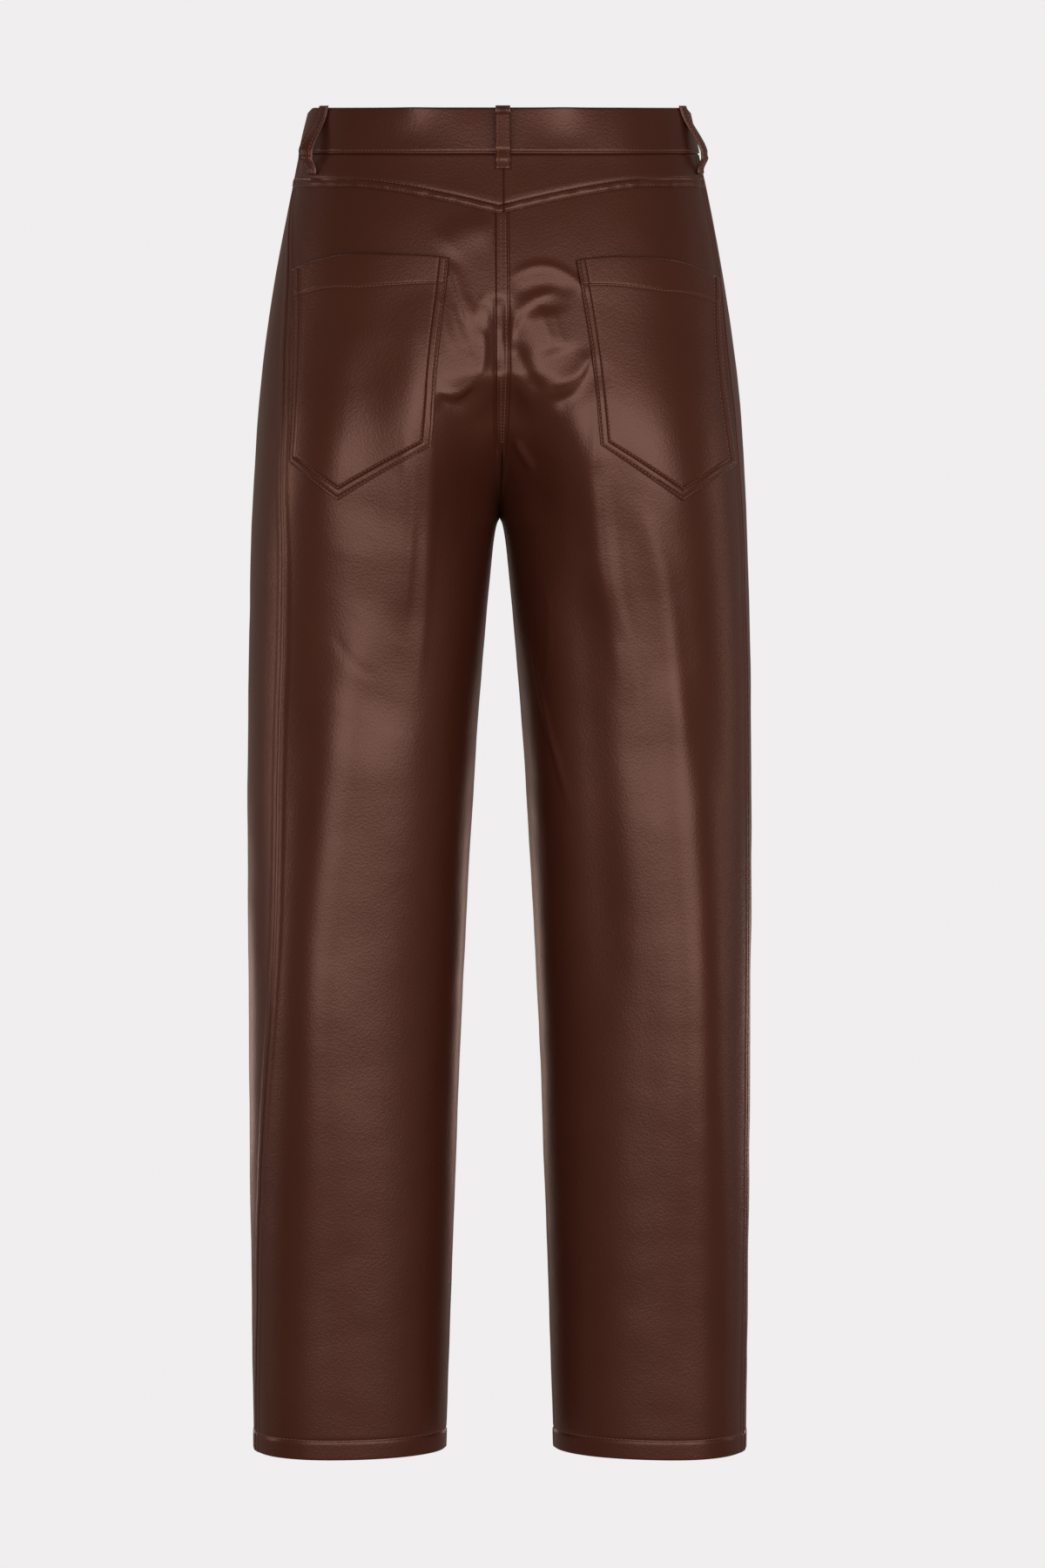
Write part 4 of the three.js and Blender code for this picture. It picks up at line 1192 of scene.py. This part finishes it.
def sew(line, normals, pitch=STITCH_PITCH, length=STITCH_LENGTH, radius=THREAD_RADIUS, rise=0.1):
    """Stitches along a line of points on a surface, with its normals."""
    run = np.concatenate([[0], np.cumsum(np.linalg.norm(np.diff(line, axis=0), axis=1))])
    count = max(int(run[-1] / pitch), 1)
    starts = (np.arange(count) + 0.5) * run[-1] / count
    t = np.array(STITCH_PLACES)
    bulge = np.array(STITCH_BULGE)
    height = np.array(STITCH_HEIGHT)
    ring = np.linspace(0, 2 * np.pi, STITCH_RING, endpoint=False)
    for centre in starts:
        at = centre + t * length
        place = np.stack([np.interp(at, run, line[:, k]) for k in range(3)], axis=1)
        up = unit(np.stack([np.interp(at, run, normals[:, k]) for k in range(3)], axis=1))
        ahead = unit(np.gradient(place, axis=0))
        beside = np.cross(ahead, up)
        middle = place + up * (height + rise)[:, None]
        around = np.cos(ring)[None, :, None] * beside[:, None] * 0.85
        around = around + np.sin(ring)[None, :, None] * up[:, None]
        rings = middle[:, None] + around * (radius * bulge)[:, None, None]
        first = len(stitch_points)
        stitch_points.extend(rings.reshape(-1, 3))
        for r in range(len(t) - 1):
            for c in range(STITCH_RING):
                a = first + r * STITCH_RING + c
                b = first + r * STITCH_RING + (c + 1) % STITCH_RING
                stitch_faces.append((a, b, b + STITCH_RING, a + STITCH_RING))
        stitch_faces.append(tuple(range(first, first + STITCH_RING))[::-1])
        last = first + (len(t) - 1) * STITCH_RING
        stitch_faces.append(tuple(range(last, last + STITCH_RING)))


def panel_line(side, face, drops, distance, lift, from_outer=False):
    """A line down a panel at a distance from its inner or outer seam."""
    lengths = arcs(side, face, np.broadcast_to(drops[:, None], (len(drops), len(DENSE))))
    at = lengths[:, -1] - distance if from_outer else np.full(len(drops), distance)
    share = np.array([np.interp(a, l, DENSE) for a, l in zip(at, lengths)])
    angles = panel_angle(side, face, drops, share)
    return cloth(side, drops, angles, lift), form_normal(side, drops, angles)


# %% Stitches of the panels
seat_drops = np.arange(84, LAP_END + 6, 2.0)
sew(*panel_line(1, "back", seat_drops, 2.2, 0.8))
sew(*panel_line(-1, "back", seat_drops, 1.4, 0.8))
hem_drop = LENGTH - HEM_WIDTH
for side in (1, -1):
    for face in ("back", "front"):
        share = np.linspace(0.004, 0.996, 120)
        drops = np.full(len(share), float(hem_drop))
        angles = panel_angle(side, face, drops, share)
        sew(cloth(side, drops, angles, -0.35), form_normal(side, drops, angles), pitch=3.4)
    share = np.linspace(0.012, 0.995, 90)
    edge = yoke_edge(side, share) + YOKE_BELOW
    for above, lift in ((YOKE_LOWER_ROW, 0.6), (YOKE_LAP + 0.4, -0.3)):
        drops = edge - above
        angles = panel_angle(side, "back", drops, share)
        sew(cloth(side, drops, angles, lift), form_normal(side, drops, angles))
print("Stitches so far:", len(stitch_points) // (len(STITCH_PLACES) * STITCH_RING))

# %% Stitches of the waistband and the loops
ROW_POINTS = 400
angles = np.linspace(start + 0.02, stop - 0.25, ROW_POINTS)
row = waist_point(np.full(ROW_POINTS, BAND_WIDTH - BAND_STITCH), angles, BAND_OUTER - 0.35)
around_normals = np.where(
    (np.cos(angles) < 0)[:, None],
    form_normal(-1, np.full(ROW_POINTS, 30.0), np.pi - angles),
    form_normal(1, np.full(ROW_POINTS, 30.0), angles),
)
sew(row, around_normals)
for (word, sign), line in loop_rows.items():
    middle = math.radians(LOOPS[word]["angle"])
    side, angle = (-1, np.pi - middle) if math.cos(middle) < 0 else (1, middle)
    way = form_normal(side, np.array([20.0]), np.array([angle]))
    sew(line[2:-2], np.repeat(way, len(line) - 4, axis=0), pitch=2.9, length=2.3, rise=0.05)
print("Stitches so far:", len(stitch_points) // (len(STITCH_PLACES) * STITCH_RING))

# %% Stitches of the pockets and the fly
for word, shape in POCKETS.items():
    for row in (EDGE_ROW, INNER_ROW):
        side_share, low_share = row / POCKET_WIDE, row / POCKET_SIDE_DEEP
        down = np.linspace(0.012, 1 - low_share, 90)
        across = np.linspace(side_share, 1 - side_share, 121)
        for share in (side_share, 1 - side_share):
            line, way = pocket_surface(shape, np.array([share]), down, 0.02)
            sew(line[:, 0], way[:, 0])
        line, way = pocket_surface(shape, across, np.array([1 - low_share]), 0.02)
        sew(line[0], way[0])
    across = np.linspace(INNER_ROW / POCKET_WIDE, 1 - INNER_ROW / POCKET_WIDE, 80)
    line, way = pocket_surface(shape, across, np.array([TOP_HEM / POCKET_DEEP]), 0.02)
    sew(line[0], way[0])
v = np.linspace(0.01, 0.97, 120)
drops = BAND_WIDTH + 2 * SEAM_GAP + FLY_LENGTH * v
angles = -np.pi / 2 + (fly_half_width(v) - FLY_ROW) / half_section(drops)[0]
sew(cloth(1, drops, angles, FLY_LIFT - 0.3), form_normal(1, drops, angles))
stitches = piece_from("stitches", np.array(stitch_points), stitch_faces, [thread])
print("Stitches:", len(stitch_points) // (len(STITCH_PLACES) * STITCH_RING))

# %% [markdown]
# ## The studio
#
# The camera stands far back with a long lens, at the waist's height, and looks a little
# down at the back of the garment. Two large soft lights either side of it draw a broad, gentle shine
# down each leg, and weaker ones further round and in front keep every other side readable.

# %% The camera
PICTURE_HEIGHT = 1800
FOCAL_PIXELS = 8924
camera_data = bpy.data.cameras.new("camera")
camera_data.sensor_width = 36
camera_data.lens = FOCAL_PIXELS * camera_data.sensor_width / PICTURE_HEIGHT
camera = bpy.data.objects.new("camera", camera_data)
camera.location = (-0.01776, 6.0, 0.0)
camera.rotation_euler = (math.radians(90 - 4.8), 0, math.radians(180))
bpy.context.scene.collection.objects.link(camera)
bpy.context.scene.camera = camera

# %% The floor and the air around it
FLOOR_HEIGHT = -1.06
PALE = (0.871, 0.855, 0.863)


def backdrop():
    """A floor that curves up all round into a wall, far behind the camera."""
    bend = np.linspace(0.1, np.pi / 2, 12)
    radii = np.concatenate([np.linspace(0.5, 7, 14), 7 + 3 * np.sin(bend), [10]])
    heights = np.concatenate([np.zeros(14), 3 * (1 - np.cos(bend)), [9]])
    turn = np.linspace(0, 2 * np.pi, 96, endpoint=False)
    rings = np.array([[(r * math.cos(t), r * math.sin(t), FLOOR_HEIGHT + h) for t in turn]
                      for r, h in zip(radii, heights)])
    count, around = rings.shape[:2]
    points = [tuple(map(float, p)) for p in rings.reshape(-1, 3)]
    faces = [(r * around + c, r * around + (c + 1) % around, (r + 1) * around + (c + 1) % around,
              (r + 1) * around + c) for r in range(count - 1) for c in range(around)]
    faces.append(tuple(range(around))[::-1])
    mesh = bpy.data.meshes.new("floor")
    mesh.from_pydata(points, [], faces)
    mesh.shade_smooth()
    made = bpy.data.objects.new("floor", mesh)
    bpy.context.scene.collection.objects.link(made)
    paper = bpy.data.materials.new("floor_paper")
    paper.use_nodes = True
    shader = paper.node_tree.nodes["Principled BSDF"]
    shader.inputs["Base Color"].default_value = (0, 0, 0, 1)
    shader.inputs["Roughness"].default_value = 1
    shader.inputs["Specular IOR Level"].default_value = 0
    shader.inputs["Emission Color"].default_value = (*PALE, 1)
    shader.inputs["Emission Strength"].default_value = 1
    mesh.materials.append(paper)
    made.visible_diffuse = False
    made.visible_glossy = False
    made.visible_shadow = False
    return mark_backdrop(made)


backdrop()
world = bpy.data.worlds.new("studio_air")
world.use_nodes = True
world.node_tree.nodes["Background"].inputs["Color"].default_value = (1, 0.76, 0.66, 1)
world.node_tree.nodes["Background"].inputs["Strength"].default_value = 0.27
bpy.context.scene.world = world
bpy.context.scene.view_settings.view_transform = "Standard"


# %% The lights
WHITE = (1, 1, 1)
WARM = (1, 0.72, 0.6)


def soft_light(name, azimuth, height, aim_height, distance, size, power, colour=WHITE):
    """A soft rectangular light that looks at the garment's axis. Azimuth 180 is behind it."""
    data = bpy.data.lights.new(name, "AREA")
    data.shape = "RECTANGLE"
    data.size, data.size_y = size
    data.energy = power
    data.color = colour
    lamp = bpy.data.objects.new(name, data)
    turn = math.radians(azimuth)
    lamp.location = (distance * math.sin(turn), -distance * math.cos(turn), height)
    aim = Vector((0, 0, aim_height)) - lamp.location
    lamp.rotation_euler = aim.to_track_quat("-Z", "Y").to_euler()
    lamp.visible_camera = False
    bpy.context.scene.collection.objects.link(lamp)


LIGHTS = [
    ("key_left", 166, -0.37, -0.37, 2.4, (1.5, 1.5), 28),
    ("key_right", 208, -0.37, -0.37, 2.4, (1.8, 1.5), 34),
    ("rim_left", 82, -0.42, -0.42, 2.6, (0.3, 1.1), 8, WARM),
    ("rim_right", 285, -0.5, -0.5, 2.6, (0.3, 1.2), 3, WARM),
    ("low_left", 28, -1.0, -1.0, 2.6, (0.5, 0.3), 1.2, WARM),
    ("low_right", 332, -1.0, -1.0, 2.6, (0.5, 0.3), 1.2, WARM),
    ("front_left", 30, 1.9, -0.4, 2.0, (1.2, 1.2), 18, WARM),
    ("front_right", 330, 1.9, -0.4, 2.0, (1.2, 1.2), 18, WARM),
]
for light in LIGHTS:
    soft_light(*light)
print(len(LIGHTS), "soft lights")
